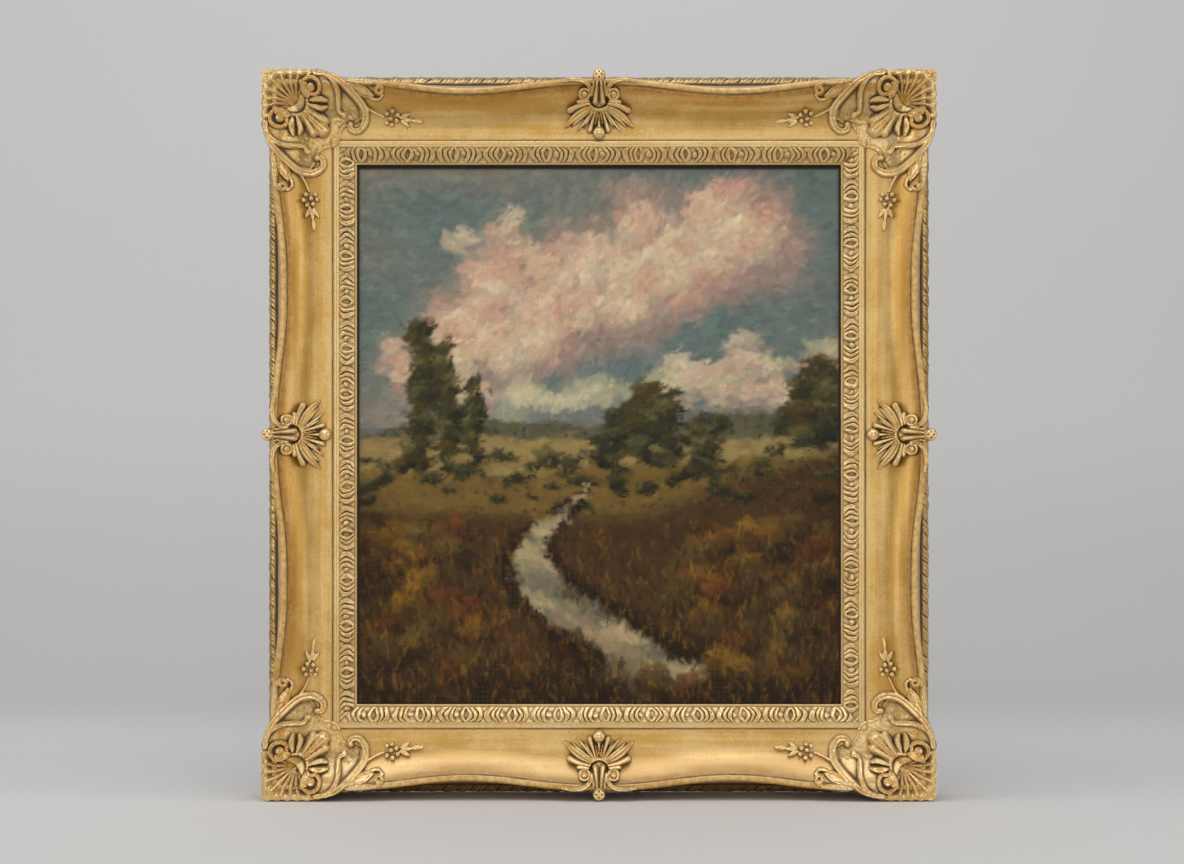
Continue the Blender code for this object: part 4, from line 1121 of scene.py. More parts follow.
@dataclass
class CentreCasting(Casting):
    """The centre ornament: a palmette of leaves over side scrolls, with a knob on the lip."""

    half_width: float = 0.0355
    grid: float = 0.0007
    knob_level: float = 4.6
    knob_radius: float = 5.7
    dent_reach: float = 2.6
    dent_width: float = 1.2
    dent_depth: float = 2.8

    def strokes(self) -> list[Stroke]:
        """Leaves, scrolls, stem and knob, with their mirror images."""
        sides = [
            curve([(1.7, 10.5), (2.2, 17), (3.6, 27.5)], (1.1, 2.1, 3.4), 5.6, count=12),
            curve([(5.6, 9.5), (5.0, 14), (6.6, 22)], (1.0, 1.5, 1.6), 3.2, count=14),
            curve([(33, 10.5), (24, 9.2), (15, 10.2), (9.4, 14.0), (8.2, 20)], (1.6, 2.4, 2.1),
                  4.0, 0.5, 24, channel=0.4),
            Stroke(spiral_path((13.2, 21.2), 4.5, 4.1, 0.5, -0.95, 28), (1.9, 1.9, 1.3), 3.8),
            knob((13.2, 21.4), 3.2, 5.6),
            curve([(2.9, 34.6), (5.6, 43), (8.4, 52.0)], (1.0, 1.7, 3.0), 5.2, 0.1, 14),
            curve([(1.4, 35.4), (2.2, 40), (3.4, 46.5)], (0.8, 1.1, 0.7), 3.4, 0.1, 12),
            curve([(3.9, 34.0), (9.0, 42.5), (13.8, 50.5)], (0.9, 1.3, 0.6), 3.2, 0.1, 14),
            curve([(4.6, 33.6), (12, 43.5), (20.0, 53)], (1.3, 2.0, 0.6), 3.6, 0.2, 16),
            curve([(6.0, 33), (15.5, 40.5), (25.0, 49.0)], (1.2, 1.8, 0.6), 3.4, 0.2, 16),
            curve([(7.4, 31.6), (19, 38.2), (30.6, 48.8)], (1.9, 4.6, 1.4), 5.6, 0.35, 20,
                  channel=0.22),
            curve([(8.6, 29.0), (18, 31.0), (26.4, 34.6)], (1.6, 2.8, 3.4), 6.0, 0.1, 16),
            curve([(9.4, 26.8), (14, 27.4), (18.4, 27.6)], (1.4, 2.2, 2.7), 5.6, 0.1, 12),
            curve([(7, 31), (15, 37)], (3.0, 5.0, 2.0), 0.4, count=8),
        ]
        middle = [
            knob((0.0, self.knob_level), self.knob_radius, 4.8),
            curve([(0, 7), (0, 27)], (5.0, 7.4, 8.4), 2.4, count=8),
            Stroke(spiral_path((0.0, 24.8), 9.4, 9.4, 0.06, 0.38, 24), (0.9, 2.1, 0.9), 4.2),
            curve([(0, 35.5), (0, 44), (0, 52.0)], (0.9, 1.3, 2.8), 3.6, 0.1, 20),
            knob((0.0, 54.0), 6.1, 6.0),
            curve([(0, 27), (0, 38)], (9.5, 9.0, 6.0), 0.2, count=8),
            curve([(0, 33), (0, 47.5)], (8.0, 9.5, 7.0), 0.7, count=8, fall=0.3),
        ]
        return middle + sides + [stroke.mirrored(False) for stroke in sides]

    def build(self, gilding: bpy.types.Material) -> None:
        """Carve the casting once and place it in the middle of the four sides."""
        columns = 2 * math.ceil(self.half_width / self.grid) + 1
        lines = np.linspace(-self.half_width, self.half_width, columns)
        lips = self.section.lip_offset(np.full(columns, 1.0), np.abs(lines))
        rows = [self.fill_row(self.seat_row(float(lip))) for lip in lips]
        along = np.tile(lines, (len(rows[0]), 1))
        inward = np.stack([row[:, 0] for row in rows], 1)
        seat = np.stack([self.sink(row) for row in rows], 1)
        drape = np.stack([self.crest_of(row) for row in rows], 1)
        x, y = along.ravel() / self.step, inward.ravel() / self.step
        inside, relief = carve(self.strokes(), np.stack([x, y], 1))
        turn = np.arctan2(y - self.knob_level, x)
        reach = np.hypot(x, y - self.knob_level)
        dents = np.exp(-((reach - self.dent_reach) / self.dent_width) ** 2)
        dents = np.cos(2 * turn) ** 8 * dents * (reach < self.knob_radius)
        relief = (relief - self.dent_depth * dents).reshape(along.shape)
        face = np.maximum(drape + self.edge + relief * self.gain * self.step, seat + self.edge)
        usable = np.ones((along.shape[0] - 1, along.shape[1] - 1), bool)
        outline = inside.reshape(along.shape)
        for side in Side:
            self.close("centre", side, 0.0, gilding, (along, inward, seat, face), outline, usable,
                       relief)


# Finishes

Socket = bpy.types.NodeSocket


class Graph:
    """Short calls for building one material's node tree."""

    def __init__(self, name: str) -> None:
        """Start a material with its Principled shader."""
        self.material = bpy.data.materials.new(name)
        self.material.use_nodes = True
        self.tree = self.material.node_tree
        self.shader = self.tree.nodes["Principled BSDF"]

    def node(self, kind: str, settings: dict | None = None, **inputs: object) -> bpy.types.Node:
        """Add a node, set its properties, and join or set its inputs by name.

        Args:
            kind: Name of the node's type without its leading words.
            settings: Properties of the node.
            inputs: Input names with underscores for spaces, or i and a number, and a socket or
                a value for each.

        Returns:
            The new node.
        """
        made = self.tree.nodes.new("ShaderNode" + kind)
        for key, value in (settings or {}).items():
            setattr(made, key, value)
        for key, value in inputs.items():
            chosen = int(key[1:]) if key[1:].isdigit() else key.replace("_", " ")
            self.join(value, made.inputs[chosen])
        return made

    def join(self, value: object, socket: Socket) -> None:
        """Link a socket, or set a plain value."""
        if isinstance(value, Socket):
            self.tree.links.new(value, socket)
        else:
            socket.default_value = value

    def maths(self, operation: str, a: object, b: object = 0.0, clamp: bool = False) -> Socket:
        """One sum on two values, kept from 0 to 1 when clamp is set."""
        settings = {"operation": operation, "use_clamp": clamp}
        return self.node("Math", settings, i0=a, i1=b).outputs[0]

    def add(self, a: object, b: object, clamp: bool = False) -> Socket:
        """The sum of two values."""
        return self.maths("ADD", a, b, clamp)

    def times(self, a: object, b: object, clamp: bool = False) -> Socket:
        """The product of two values."""
        return self.maths("MULTIPLY", a, b, clamp)

    def less(self, a: object, b: object) -> Socket:
        """The first value less the second."""
        return self.maths("SUBTRACT", a, b)

    def most(self, a: object, b: object) -> Socket:
        """The larger of two values."""
        return self.maths("MAXIMUM", a, b)

    def ramp(self, value: object, low: float, high: float) -> Socket:
        """A smooth step from 0 at low to 1 at high."""
        settings = {"interpolation_type": "SMOOTHSTEP", "clamp": True}
        made = self.node("MapRange", settings, Value=value, From_Min=low, From_Max=high)
        return made.outputs["Result"]

    def mix(self, share: object, a: object, b: object, blend: str = "MIX") -> Socket:
        """A colour between a and b."""
        settings = {"data_type": "RGBA", "blend_type": blend}
        return self.node("Mix", settings, Factor=share, i6=a, i7=b).outputs[2]

    def between(self, share: object, a: object, b: object) -> Socket:
        """A value between a and b."""
        return self.node("Mix", {"data_type": "FLOAT"}, Factor=share, i2=a, i3=b).outputs[0]

    def attribute(self, name: str, output: str = "Fac") -> Socket:
        """A value, vector or colour that the mesh carries."""
        return self.node("Attribute", {"attribute_name": name}).outputs[output]

    def noise(self, vector: object, scale: float, detail: float = 3.0,
              roughness: float = 0.55) -> Socket:
        """Cloudy noise from 0 to 1."""
        made = self.node("TexNoise", None, Vector=vector, Scale=scale, Detail=detail,
                         Roughness=roughness)
        return made.outputs["Fac"]

    def stretch(self, vector: object, scale: tuple[float, float, float],
                turn: tuple[float, float, float] = (0.0, 0.0, 0.0)) -> Socket:
        """Places scaled along three axes, after a turn."""
        return self.node("Mapping", None, Vector=vector, Scale=scale, Rotation=turn).outputs[0]

    @property
    def place(self) -> Socket:
        """Object coordinates."""
        return self.node("TexCoord").outputs["Object"]

    def finish(self, colour: object, roughness: object, metallic: object,
               normal: object) -> bpy.types.Material:
        """Join the shader's main inputs and hand over the material."""
        self.join(colour, self.shader.inputs["Base Color"])
        self.join(roughness, self.shader.inputs["Roughness"])
        self.join(metallic, self.shader.inputs["Metallic"])
        if normal is not None:
            self.join(normal, self.shader.inputs["Normal"])
        return self.material


Colour = tuple[float, float, float, float]


@dataclass(frozen=True)
class Gilding:
    """Worn satin gilding over red bole, with brown dirt and painted shade in the hollows.

    Colours are linear. Streaks runs from 0 to 1 and shows brush marks along a rail. Sparkle
    lightens random specks as painted glints. Grime and shade scales the dirt and painted shade in
    hollows, and rubbing the bole on crests. Burnish and highlight lightens the crests' leaf, as
    burnished leaf and as a painted highlight. Dust and highlight is how much of the pale tone lies
    on what faces up, as dust and as a painted highlight. Metal is how metallic clean leaf is, coat
    the weight of its varnish, and patchy how far its roughness varies.
    """

    name: str
    light: Colour = (0.92, 0.62, 0.235, 1.0)
    deep: Colour = (0.70, 0.40, 0.085, 1.0)
    bole: Colour = (0.36, 0.135, 0.06, 1.0)
    dirt_and_shade: Colour = (0.115, 0.055, 0.016, 1.0)
    wood: Colour = (0.36, 0.23, 0.11, 1.0)
    streaks: float = 0.5
    sparkle: float = 0.25
    burnish_and_highlight: float = 0.0
    coat: float = 0.4
    patchy: float = 0.16
    grime_and_shade: float = 1.0
    rubbing: float = 0.6
    grain: float = 0.5
    roughness: float = 0.36
    metal: float = 0.9
    dust_and_highlight: float = 0.35
    pale: Colour = (0.95, 0.80, 0.55, 1.0)

    def material(self) -> bpy.types.Material:
        """Build the node tree."""
        g = Graph(self.name)
        where = g.place
        rail_place = g.attribute("place", "Vector")
        hollow, wear_and_highlight, bare = g.attribute("hollow"), g.attribute("wear_and_highlight"), g.attribute("bare")
        cloud = g.noise(where, 16.0, 4.0)
        patch = g.noise(where, 70.0, 4.0, 0.6)
        speck = g.noise(where, 480.0, 3.0, 0.7)
        brushed = g.noise(g.stretch(rail_place, (7.0, 230.0, 230.0)), 1.0, 4.0, 0.6)
        broad = g.noise(g.stretch(rail_place, (2.2, 75.0, 75.0)), 1.0, 2.0)
        tone = g.add(g.times(cloud, 0.7), g.times(patch, 0.5))
        streak = g.add(g.times(brushed, 0.7), g.times(broad, 1.5))
        streak = g.times(g.less(streak, 1.1), self.streaks)
        # Painted glints: random specks lighten the leaf's colour.
        glint = g.times(g.less(speck, 0.5), 2.0 * self.sparkle)
        tone = g.add(g.add(tone, streak), glint)
        # Painted highlight on crests: the crest mask lightens the leaf there, as burnished leaf and
        # as light on the crests. The same mask also rubs through to the bole.
        tone = g.add(tone, g.times(wear_and_highlight, self.burnish_and_highlight))
        gold = g.mix(g.ramp(tone, 0.38, 0.86), self.deep, self.light)
        worn = g.times(wear_and_highlight, g.ramp(g.noise(where, 210.0, 3.0), 0.42, 0.60))
        scuff = g.ramp(g.noise(g.stretch(rail_place, (40.0, 260.0, 260.0)), 1.0, 3.0), 0.68, 0.76)
        red = g.add(g.times(worn, self.rubbing),
                      g.times(scuff, 0.35 * self.streaks), clamp=True)
        gold = g.mix(red, gold, self.bole)
        # Dust and painted highlight: what faces up turns towards the pale tone.
        dust_and_highlight_share = g.times(g.ramp(g.attribute("upward"), 0.1, 0.9), self.dust_and_highlight)
        dust_and_highlight_share = g.times(dust_and_highlight_share, g.add(patch, 0.5), clamp=True)
        gold = g.mix(dust_and_highlight_share, gold, self.pale)
        # Dirt and painted shade: the hollow attribute darkens recesses and creases towards the dark
        # colour and takes away the metal there. The pits and fly spots are real dirt.
        dirt_and_shade_noise = g.add(g.times(patch, 0.9), 0.42)
        dirt_and_shade = g.times(g.times(hollow, dirt_and_shade_noise), self.grime_and_shade, clamp=True)
        pits = g.node("TexVoronoi", {"feature": "F1"}, Vector=where, Scale=190.0, Randomness=1.0)
        pit = g.ramp(pits.outputs["Distance"], 0.13, 0.07)
        pit = g.times(pit, g.ramp(patch, 0.52, 0.66))
        fly = g.ramp(g.noise(where, 330.0, 2.0), 0.70, 0.78)
        spots = g.most(g.times(pit, 0.8), g.times(fly, 0.45))
        dirt_and_shade = g.most(g.ramp(dirt_and_shade, 0.10, 0.80), spots)
        colour = g.mix(dirt_and_shade, gold, self.dirt_and_shade)
        back_tone = g.noise(g.stretch(rail_place, (12.0, 160.0, 160.0)), 1.0, 4.0)
        timber = g.mix(g.ramp(back_tone, 0.3, 0.75), self.wood, (0.20, 0.12, 0.055, 1.0))
        colour = g.mix(bare, colour, timber)
        clean_and_unshaded = g.less(1.0, g.most(g.times(dirt_and_shade, 0.9), bare))
        metallic = g.times(clean_and_unshaded, self.metal)
        rough = g.add(self.roughness, g.times(patch, self.patchy))
        rough = g.add(rough, g.times(g.most(dirt_and_shade, bare), 0.35))
        relief = g.add(g.times(speck, self.grain),
                         g.times(brushed, 0.5 * self.streaks))
        relief = g.less(relief, g.times(spots, 0.8))
        bump = g.node("Bump", None, Strength=0.4, Distance=0.0005, Height=relief)
        g.shader.inputs["Coat Weight"].default_value = self.coat
        g.shader.inputs["Coat Roughness"].default_value = 0.25
        return g.finish(colour, rough, metallic, bump.outputs["Normal"])


@dataclass(frozen=True)
class Timber:
    """Planed pine gone brown with age. The grain runs along one axis of the scene's frame."""

    name: str
    upright: bool
    pale: Colour = (0.46, 0.30, 0.15, 1.0)
    dark: Colour = (0.25, 0.14, 0.06, 1.0)

    def material(self) -> bpy.types.Material:
        """Build the node tree: rings of a stretched wave, pores and a few stains."""
        g = Graph(self.name)
        scale = (110.0, 110.0, 5.0) if self.upright else (5.0, 110.0, 110.0)
        along = g.stretch(g.place, scale)
        ring = g.noise(along, 1.0, 5.0, 0.6)
        fine = g.noise(g.stretch(g.place, tuple(6.0 * part for part in scale)), 1.0, 2.0)
        stain = g.noise(g.place, 14.0, 4.0)
        tone = g.add(g.times(ring, 0.8), g.times(fine, 0.25))
        colour = g.mix(g.ramp(tone, 0.35, 0.75), self.pale, self.dark)
        colour = g.mix(g.times(g.ramp(stain, 0.55, 0.75), 0.5), colour,
                       (0.13, 0.08, 0.045, 1.0))
        bump = g.node("Bump", None, Strength=0.4, Distance=0.0003, Height=fine)
        rough = g.add(0.62, g.times(ring, 0.2))
        return g.finish(colour, rough, 0.0, bump.outputs["Normal"])


@dataclass(frozen=True)
class OilPaint:
    """Old oil paint on a linen canvas, with brush marks, a weave and a thin uneven varnish."""

    name: str = "oil_paint_on_linen"
    linen: Colour = (0.36, 0.27, 0.165, 1.0)
    threads: float = 1500.0

    def weave(self, g: Graph, where: object) -> Socket:
        """A plain weave: two crossing waves, one along X and one along Z."""
        waves = []
        for direction in ("X", "Z"):
            waves.append(g.node(
                "TexWave", {"wave_type": "BANDS", "bands_direction": direction},
                Vector=where, Scale=self.threads / 20.0, Distortion=0.6,
                Detail=1.0).outputs["Fac"])
        return g.times(waves[0], waves[1])

    def material(self) -> bpy.types.Material:
        """Build the node tree from the painted colour, the broken colour and the brush's lie."""
        g = Graph(self.name)
        where = g.place
        paint, broken = g.attribute("paint", "Color"), g.attribute("broken", "Color")
        front, lie, load = g.attribute("front"), g.attribute("lie"), g.attribute("load")
        level = g.noise(g.stretch(where, (190.0, 1.0, 620.0)), 1.0, 3.0, 0.65)
        upright = g.noise(g.stretch(where, (620.0, 1.0, 200.0)), 1.0, 3.0, 0.65)
        slanted = g.noise(g.stretch(where, (240.0, 1.0, 640.0), (0.0, 0.75, 0.0)), 1.0, 3.0, 0.65)
        marks = g.between(g.ramp(lie, 0.25, 0.45), level, slanted)
        marks = g.between(g.ramp(lie, 0.6, 0.8), marks, upright)
        dab = g.node("TexVoronoi", {"feature": "F1"}, Vector=g.stretch(where, (200.0, 1.0, 260.0)),
                     Scale=1.0, Randomness=1.0)
        dab_mix = g.node("SeparateColor", None, Color=dab.outputs["Color"]).outputs[0]
        chance = g.add(g.times(marks, 0.75), g.times(dab_mix, 0.30))
        colour = g.mix(g.times(g.ramp(chance, 0.54, 0.62), 0.7), paint, broken)
        grain = self.weave(g, where)
        bald = g.ramp(g.noise(where, 55.0, 4.0), 0.5, 0.7)
        rubbed = g.times(g.ramp(grain, 0.55, 0.9), bald)
        colour = g.mix(g.times(rubbed, 0.16), colour, (0.30, 0.24, 0.16, 1.0))
        shade = g.add(0.86, g.times(marks, 0.28))
        grey = g.node("CombineColor", None, Red=shade, Green=shade, Blue=shade).outputs[0]
        shaded = g.mix(1.0, colour, grey, "MULTIPLY")
        cloth = g.mix(g.ramp(grain, 0.1, 0.8), (0.20, 0.14, 0.08, 1.0), self.linen)
        colour = g.mix(front, cloth, shaded)
        height = g.add(g.times(marks, g.add(0.6, load)),
                         g.times(grain, 0.35))
        bump = g.node("Bump", None, Strength=0.5, Distance=0.0006, Height=height)
        rough = g.add(0.44, g.times(g.noise(where, 9.0), 0.16))
        g.shader.inputs["Specular IOR Level"].default_value = 0.22
        rough = g.add(rough, g.times(g.less(1.0, front), 0.35))
        return g.finish(colour, rough, 0.0, bump.outputs["Normal"])


# Canvas

def pigment(red: int, green: int, blue: int) -> Array:
    """A colour as three shares, from display values of 0 to 255."""
    return np.array((red, green, blue), float) / 255.0


class Pigment:
    """Mixed colours on the palette."""

    TEAL = pigment(110, 127, 121)
    SLATE = pigment(122, 128, 120)
    WARM_GREY = pigment(148, 140, 124)
    DUSK = pigment(180, 154, 136)
    CLOUD_SHADE = pigment(160, 140, 128)
    CLOUD_ROSE = pigment(224, 172, 146)
    CLOUD_PEACH = pigment(232, 194, 160)
    CLOUD_CREAM = pigment(240, 214, 176)
    CLOUD_YELLOW = pigment(208, 198, 152)
    FAR_HILL = pigment(124, 126, 120)
    NEAR_HILL = pigment(98, 95, 72)
    STRAW = pigment(164, 140, 86)
    MEADOW = pigment(126, 100, 50)
    OLIVE = pigment(94, 76, 37)
    OCHRE = pigment(172, 126, 40)
    RUST = pigment(134, 76, 38)
    EARTH = pigment(78, 54, 30)
    DARK_EARTH = pigment(38, 27, 16)
    LEAF_LIGHT = pigment(114, 106, 62)
    LEAF = pigment(68, 66, 42)
    LEAF_DARK = pigment(30, 32, 22)
    WATER_PALE = pigment(214, 190, 142)
    WATER_ROSE = pigment(186, 146, 110)
    WATER_GREY = pigment(130, 128, 106)


@dataclass
class Landscape:
    """A generic landscape: a bank of cloud over a plain, poplars, round trees and a brook.

    It is composed on a coarse raster of broad areas and then painted over it, stroke by stroke,
    on a fine one. Places run from 0 to 1, across from the left and down from the top.
    """

    width: float
    height: float
    cell: float = 0.0008
    seed: int = 1871
    colours: Array = field(init=False)
    loads: Array = field(init=False)
    lies: Array = field(init=False)

    def __post_init__(self) -> None:
        """Lay out the rasters."""
        self.columns = round(self.width / self.cell)
        self.rows = round(self.height / self.cell)
        self.random = np.random.default_rng(self.seed)
        down, across = np.mgrid[0:self.rows // 2, 0:self.columns // 2]
        self.x = (across + 0.5) / (self.columns // 2)
        self.y = (down + 0.5) / (self.rows // 2)
        self.aspect = self.height / self.width

    def cloudy(self, wide: float, tall: float, seed: int) -> Array:
        """Two layers of soft noise over the coarse raster, from -1 to 1."""
        total = np.zeros(self.x.size)
        for octave in range(2):
            scale = 2.0 ** octave
            places = columns_of(self.x / wide * scale, self.y / tall * scale,
                                np.full(self.x.size, 0.5))
            total = total + smooth_noise(places, 1.0, seed + octave) / scale
        return total.reshape(self.x.shape) / 1.5

    def lay(self, colour: Array, mask: Array) -> None:
        """Blend a colour over the composition where the mask is."""
        self.target = self.target + (colour - self.target) * mask[..., None]

    def puffs(self, centres: Array, radii: Array, lit: Array, shade: Array, flat: float,
              opacity: float, soft: float = 0.30) -> None:
        """Lay rounded masses one over another from the top down, each lit from the upper left.

        The light on a mass is that of a ball: the share of its surface normal along the light.

        Args:
            centres: Places across and down, one row each.
            radii: Radius of each, as a share of the width.
            lit: Colours of the lit side, used in turn.
            shade: Colour of the shaded side.
            flat: Height of a mass as a share of its width.
            opacity: Cover in its middle.
            soft: Share of the radius over which its edge fades.
        """
        for k in np.argsort(centres[:, 1]):
            dx = (self.x - centres[k, 0]) / radii[k]
            dy = (self.y - centres[k, 1]) * self.aspect / (radii[k] * flat)
            wobble = 1.0 + 0.16 * np.sin(5 * np.arctan2(dy, dx) + 2.1 * k)
            reach = np.hypot(dx, dy) / wobble
            light = np.clip(0.50 - 0.42 * dx - 0.62 * dy, 0.0, 1.0)[..., None]
            colour = shade + (lit[k % len(lit)] - shade) * light
            self.lay(colour, opacity * ease((1 - reach) / soft))

    def compose(self) -> None:
        """Set out the broad areas of the picture: sky, clouds, land."""
        x, y = self.x, self.y
        n = self.cloudy(0.22, 0.10, 3)
        broad = self.cloudy(0.45, 0.28, 5)
        drift = self.cloudy(0.34, 0.18, 7)
        self.target = np.zeros((*x.shape, 3)) + Pigment.TEAL
        self.lay(Pigment.SLATE, ease(0.50 + 1.2 * broad))
        self.lay(Pigment.WARM_GREY, ease(0.22 + 1.3 * drift + 0.7 * (0.45 - x)))
        self.lay(Pigment.DUSK, 0.8 * ease(2.4 * (y - 0.30) + 0.7 * n))
        self.clouds()
        self.land(x, y, n)

    def clouds(self) -> None:
        """A bank of cloud that climbs to the right, from soft masses to crisp lights."""
        random = self.random
        rose, peach = Pigment.CLOUD_ROSE, Pigment.CLOUD_PEACH
        cream, yellow = Pigment.CLOUD_CREAM, Pigment.CLOUD_YELLOW
        for many, girth, spread, lit, shade, opacity, soft in (
                (44, 0.110, 0.060, (rose, Pigment.DUSK), Pigment.CLOUD_SHADE, 0.80, 0.7),
                (60, 0.068, 0.062, (peach, rose, cream), Pigment.CLOUD_SHADE, 0.85, 0.35),
                (70, 0.034, 0.062, (cream, peach, rose, cream), 0.5 * (rose + yellow), 0.80, 0.3)):
            share = random.random(many)
            spine = np.stack([0.17 + 0.64 * share, 0.37 - 0.27 * share], 1)
            swell = spread * (0.55 + np.sin(np.pi * share))[:, None]
            centres = spine + random.normal(size=(many, 2)) * swell * np.array([1.0, 0.62])
            self.puffs(centres, girth * (0.7 + 0.6 * random.random(many)), np.array(lit), shade,
                       0.84, opacity, soft)
        low = np.stack([0.62 + 0.42 * random.random(40), 0.405 + 0.030 * random.normal(size=40)], 1)
        self.puffs(low, 0.024 + 0.032 * random.random(40), np.array([cream, yellow, peach]),
                   Pigment.DUSK, 0.62, 0.75)
        glow = np.stack([0.30 + 0.34 * random.random(16), 0.43 + 0.016 * random.normal(size=16)], 1)
        self.puffs(glow, 0.05 + 0.04 * random.random(16), np.array([yellow, cream]),
                   Pigment.CLOUD_YELLOW, 0.45, 0.55, 0.8)

    def land(self, x: Array, y: Array, n: Array) -> None:
        """Hills, plain, trees, brook and banks, from far to near."""
        random = self.random
        ridge = 0.462 + 0.014 * np.sin(7.0 * x + 0.6) + 0.006 * np.sin(23.0 * x)
        self.lay(Pigment.FAR_HILL, ease((y - ridge) / 0.010))
        ridge = 0.486 - 0.030 * x + 0.010 * np.sin(11.0 * x + 2.0) + 0.004 * np.sin(41.0 * x)
        self.lay(Pigment.NEAR_HILL, ease((y - ridge) / 0.008))
        bands = self.cloudy(0.30, 0.026, 9)
        self.lay(Pigment.STRAW, ease((y - 0.500) / 0.012))
        self.lay(Pigment.MEADOW, ease((y - 0.525 + 0.07 * bands) / 0.05))
        self.lay(Pigment.OLIVE, 0.85 * ease((y - 0.585 + 0.12 * bands) / 0.08))
        self.lay(Pigment.DARK_EARTH, 0.55 * ease(bands * 2.4 - 0.6) * ease((y - 0.515) / 0.02))
        slope = 0.63 - 0.13 * ease((x - 0.52) / 0.5) + 0.03 * n
        self.lay(Pigment.EARTH, ease((y - slope) / 0.05) * 0.9)
        self.trees()
        self.brook(x, y, n)
        autumn = np.array([Pigment.OCHRE, Pigment.OLIVE, Pigment.MEADOW,
                           Pigment.RUST, Pigment.EARTH])
        for left, top, wide, many in ((0.66, 0.68, 0.40, 74), (-0.04, 0.66, 0.30, 54),
                                      (0.20, 0.93, 0.6, 40)):
            spots = [left + wide * random.random(many), top + 0.27 * random.random(many)]
            spots = np.stack(spots, 1)
            self.puffs(spots, 0.022 + 0.040 * random.random(many), autumn, Pigment.DARK_EARTH,
                       0.8, 0.75)
        sides = 0.5 * ease((np.abs(x - 0.5) - 0.38) / 0.12) * (y > 0.6)
        shadow = ease((y - 0.88 + 0.06 * n) / 0.12) + sides
        self.lay(Pigment.DARK_EARTH, 0.70 * np.clip(shadow, 0, 1))

    def trees(self) -> None:
        """Three poplars on the left, round trees on the right, and scrub between them."""
        random = self.random
        leaves = np.array([Pigment.LEAF_LIGHT, Pigment.LEAF, Pigment.LEAF,
                           Pigment.OLIVE])
        dark = Pigment.LEAF_DARK
        for left, top, bottom, girth in ((0.140, 0.300, 0.560, 0.021), (0.196, 0.335, 0.565, 0.018),
                                         (0.245, 0.40, 0.560, 0.014)):
            rise = np.linspace(top, bottom, 24)
            swell = girth * (0.45 + np.sin(np.pi * np.linspace(0.12, 0.95, 24)))
            drift = random.normal(size=24) * girth * 0.35
            self.puffs(np.stack([left + drift, rise], 1), swell, leaves, dark, 1.25, 0.92)
        for left, level, girth, many in ((0.60, 0.475, 0.066, 38), (0.70, 0.505, 0.048, 26),
                                         (0.53, 0.525, 0.036, 18), (0.93, 0.435, 0.064, 34)):
            around = random.normal(size=(many, 2)) * girth * np.array([0.62, 0.46])
            radii = girth * (0.26 + 0.30 * random.random(many))
            self.puffs(np.array([left, level]) + around, radii, leaves, dark, 0.9, 0.92)
        scrub = np.stack([random.random(70), 0.568 + 0.022 * random.normal(size=70)], 1)
        self.puffs(scrub, 0.010 + 0.022 * random.random(70), leaves, dark, 0.6, 0.85)

    def brook(self, x: Array, y: Array, n: Array) -> None:
        """A winding brook between dark banks, with the sky's colours broken on it.

        Its middle is a growing sine of the way down, and noise frays its banks.
        """
        down = np.clip((y - 0.585) / 0.40, 0.0, 1.0)
        ripple = self.cloudy(0.11, 0.015, 15)
        ragged = self.cloudy(0.05, 0.030, 17)
        middle = 0.47 - 0.17 * np.sin(5.2 * down) * (0.35 + 0.65 * down) + 0.03 * n
        half = 0.010 + 0.125 * down ** 1.2 * (1 + 0.30 * n)
        bank = 1 - np.abs(x - middle) / half + 0.55 * ragged
        here = (down > 0) * ease((0.985 - y + 0.03 * ragged) / 0.05)
        self.lay(Pigment.DARK_EARTH, 0.85 * ease((bank + 0.75) / 0.6) * here)
        gleam = ease(0.55 + 1.5 * ripple)[..., None]
        tone = Pigment.WATER_GREY + (Pigment.WATER_PALE - Pigment.WATER_GREY) * gleam
        rose = (0.35 * ease(0.4 + 1.5 * n))[..., None]
        tone = tone + (Pigment.WATER_ROSE - tone) * rose
        self.lay(tone, 0.85 * ease(bank / 0.35) * here)
        self.lay(Pigment.DARK_EARTH, 0.6 * ease(-ripple * 2.2 - 0.5) * ease(bank / 0.3) * here)

    def dab(self, across: float, down: float, length: float, breadth: float, angle: float,
            colour: Array, body: float) -> None:
        """Lay one brush stroke on the fine raster.

        Its cover is one inside a rounded bar and fades at its ends, broken by bristle lines that
        run along it. Its paint is thickest along its two edges.

        Args:
            across: Middle of the stroke, from 0 to 1 across.
            down: Middle of the stroke, from 0 to 1 down.
            length: Length in metres.
            breadth: Breadth in metres.
            angle: Turn from level, in radians.
            colour: Its colour as shares.
            body: Thickness of its paint.
        """
        column, row = across * self.columns, down * self.rows
        reach = int(0.5 * length / self.cell) + 2
        low_c, high_c = max(0, int(column) - reach), min(self.columns, int(column) + reach + 1)
        low_r, high_r = max(0, int(row) - reach), min(self.rows, int(row) + reach + 1)
        if low_c >= high_c or low_r >= high_r:
            return
        u = np.arange(low_c, high_c)[None, :] - column
        v = np.arange(low_r, high_r)[:, None] - row
        along = (u * math.cos(angle) + v * math.sin(angle)) / (0.5 * length / self.cell)
        beside = (v * math.cos(angle) - u * math.sin(angle)) / (0.5 * breadth / self.cell)
        beside = beside + 0.25 * along ** 2
        bristle = 0.5 + 0.5 * np.sin(beside * 9.0 + 3.0 * math.sin(60.0 * across + 37.0 * down))
        cover = np.clip(1.35 - np.abs(along) ** 3 - 0.55 * bristle * np.abs(along), 0, 1)
        cover = cover * np.clip((1.1 - np.abs(beside)) / 0.35, 0, 1) * (np.abs(along) < 1.15)
        window = (slice(low_r, high_r), slice(low_c, high_c))
        mixed = colour * (0.96 + 0.08 * bristle)[..., None]
        self.colours[window] += (mixed - self.colours[window]) * cover[..., None]
        ridge = body * (0.45 + 0.30 * bristle + 0.45 * beside ** 2)
        self.loads[window] += (ridge - self.loads[window]) * cover
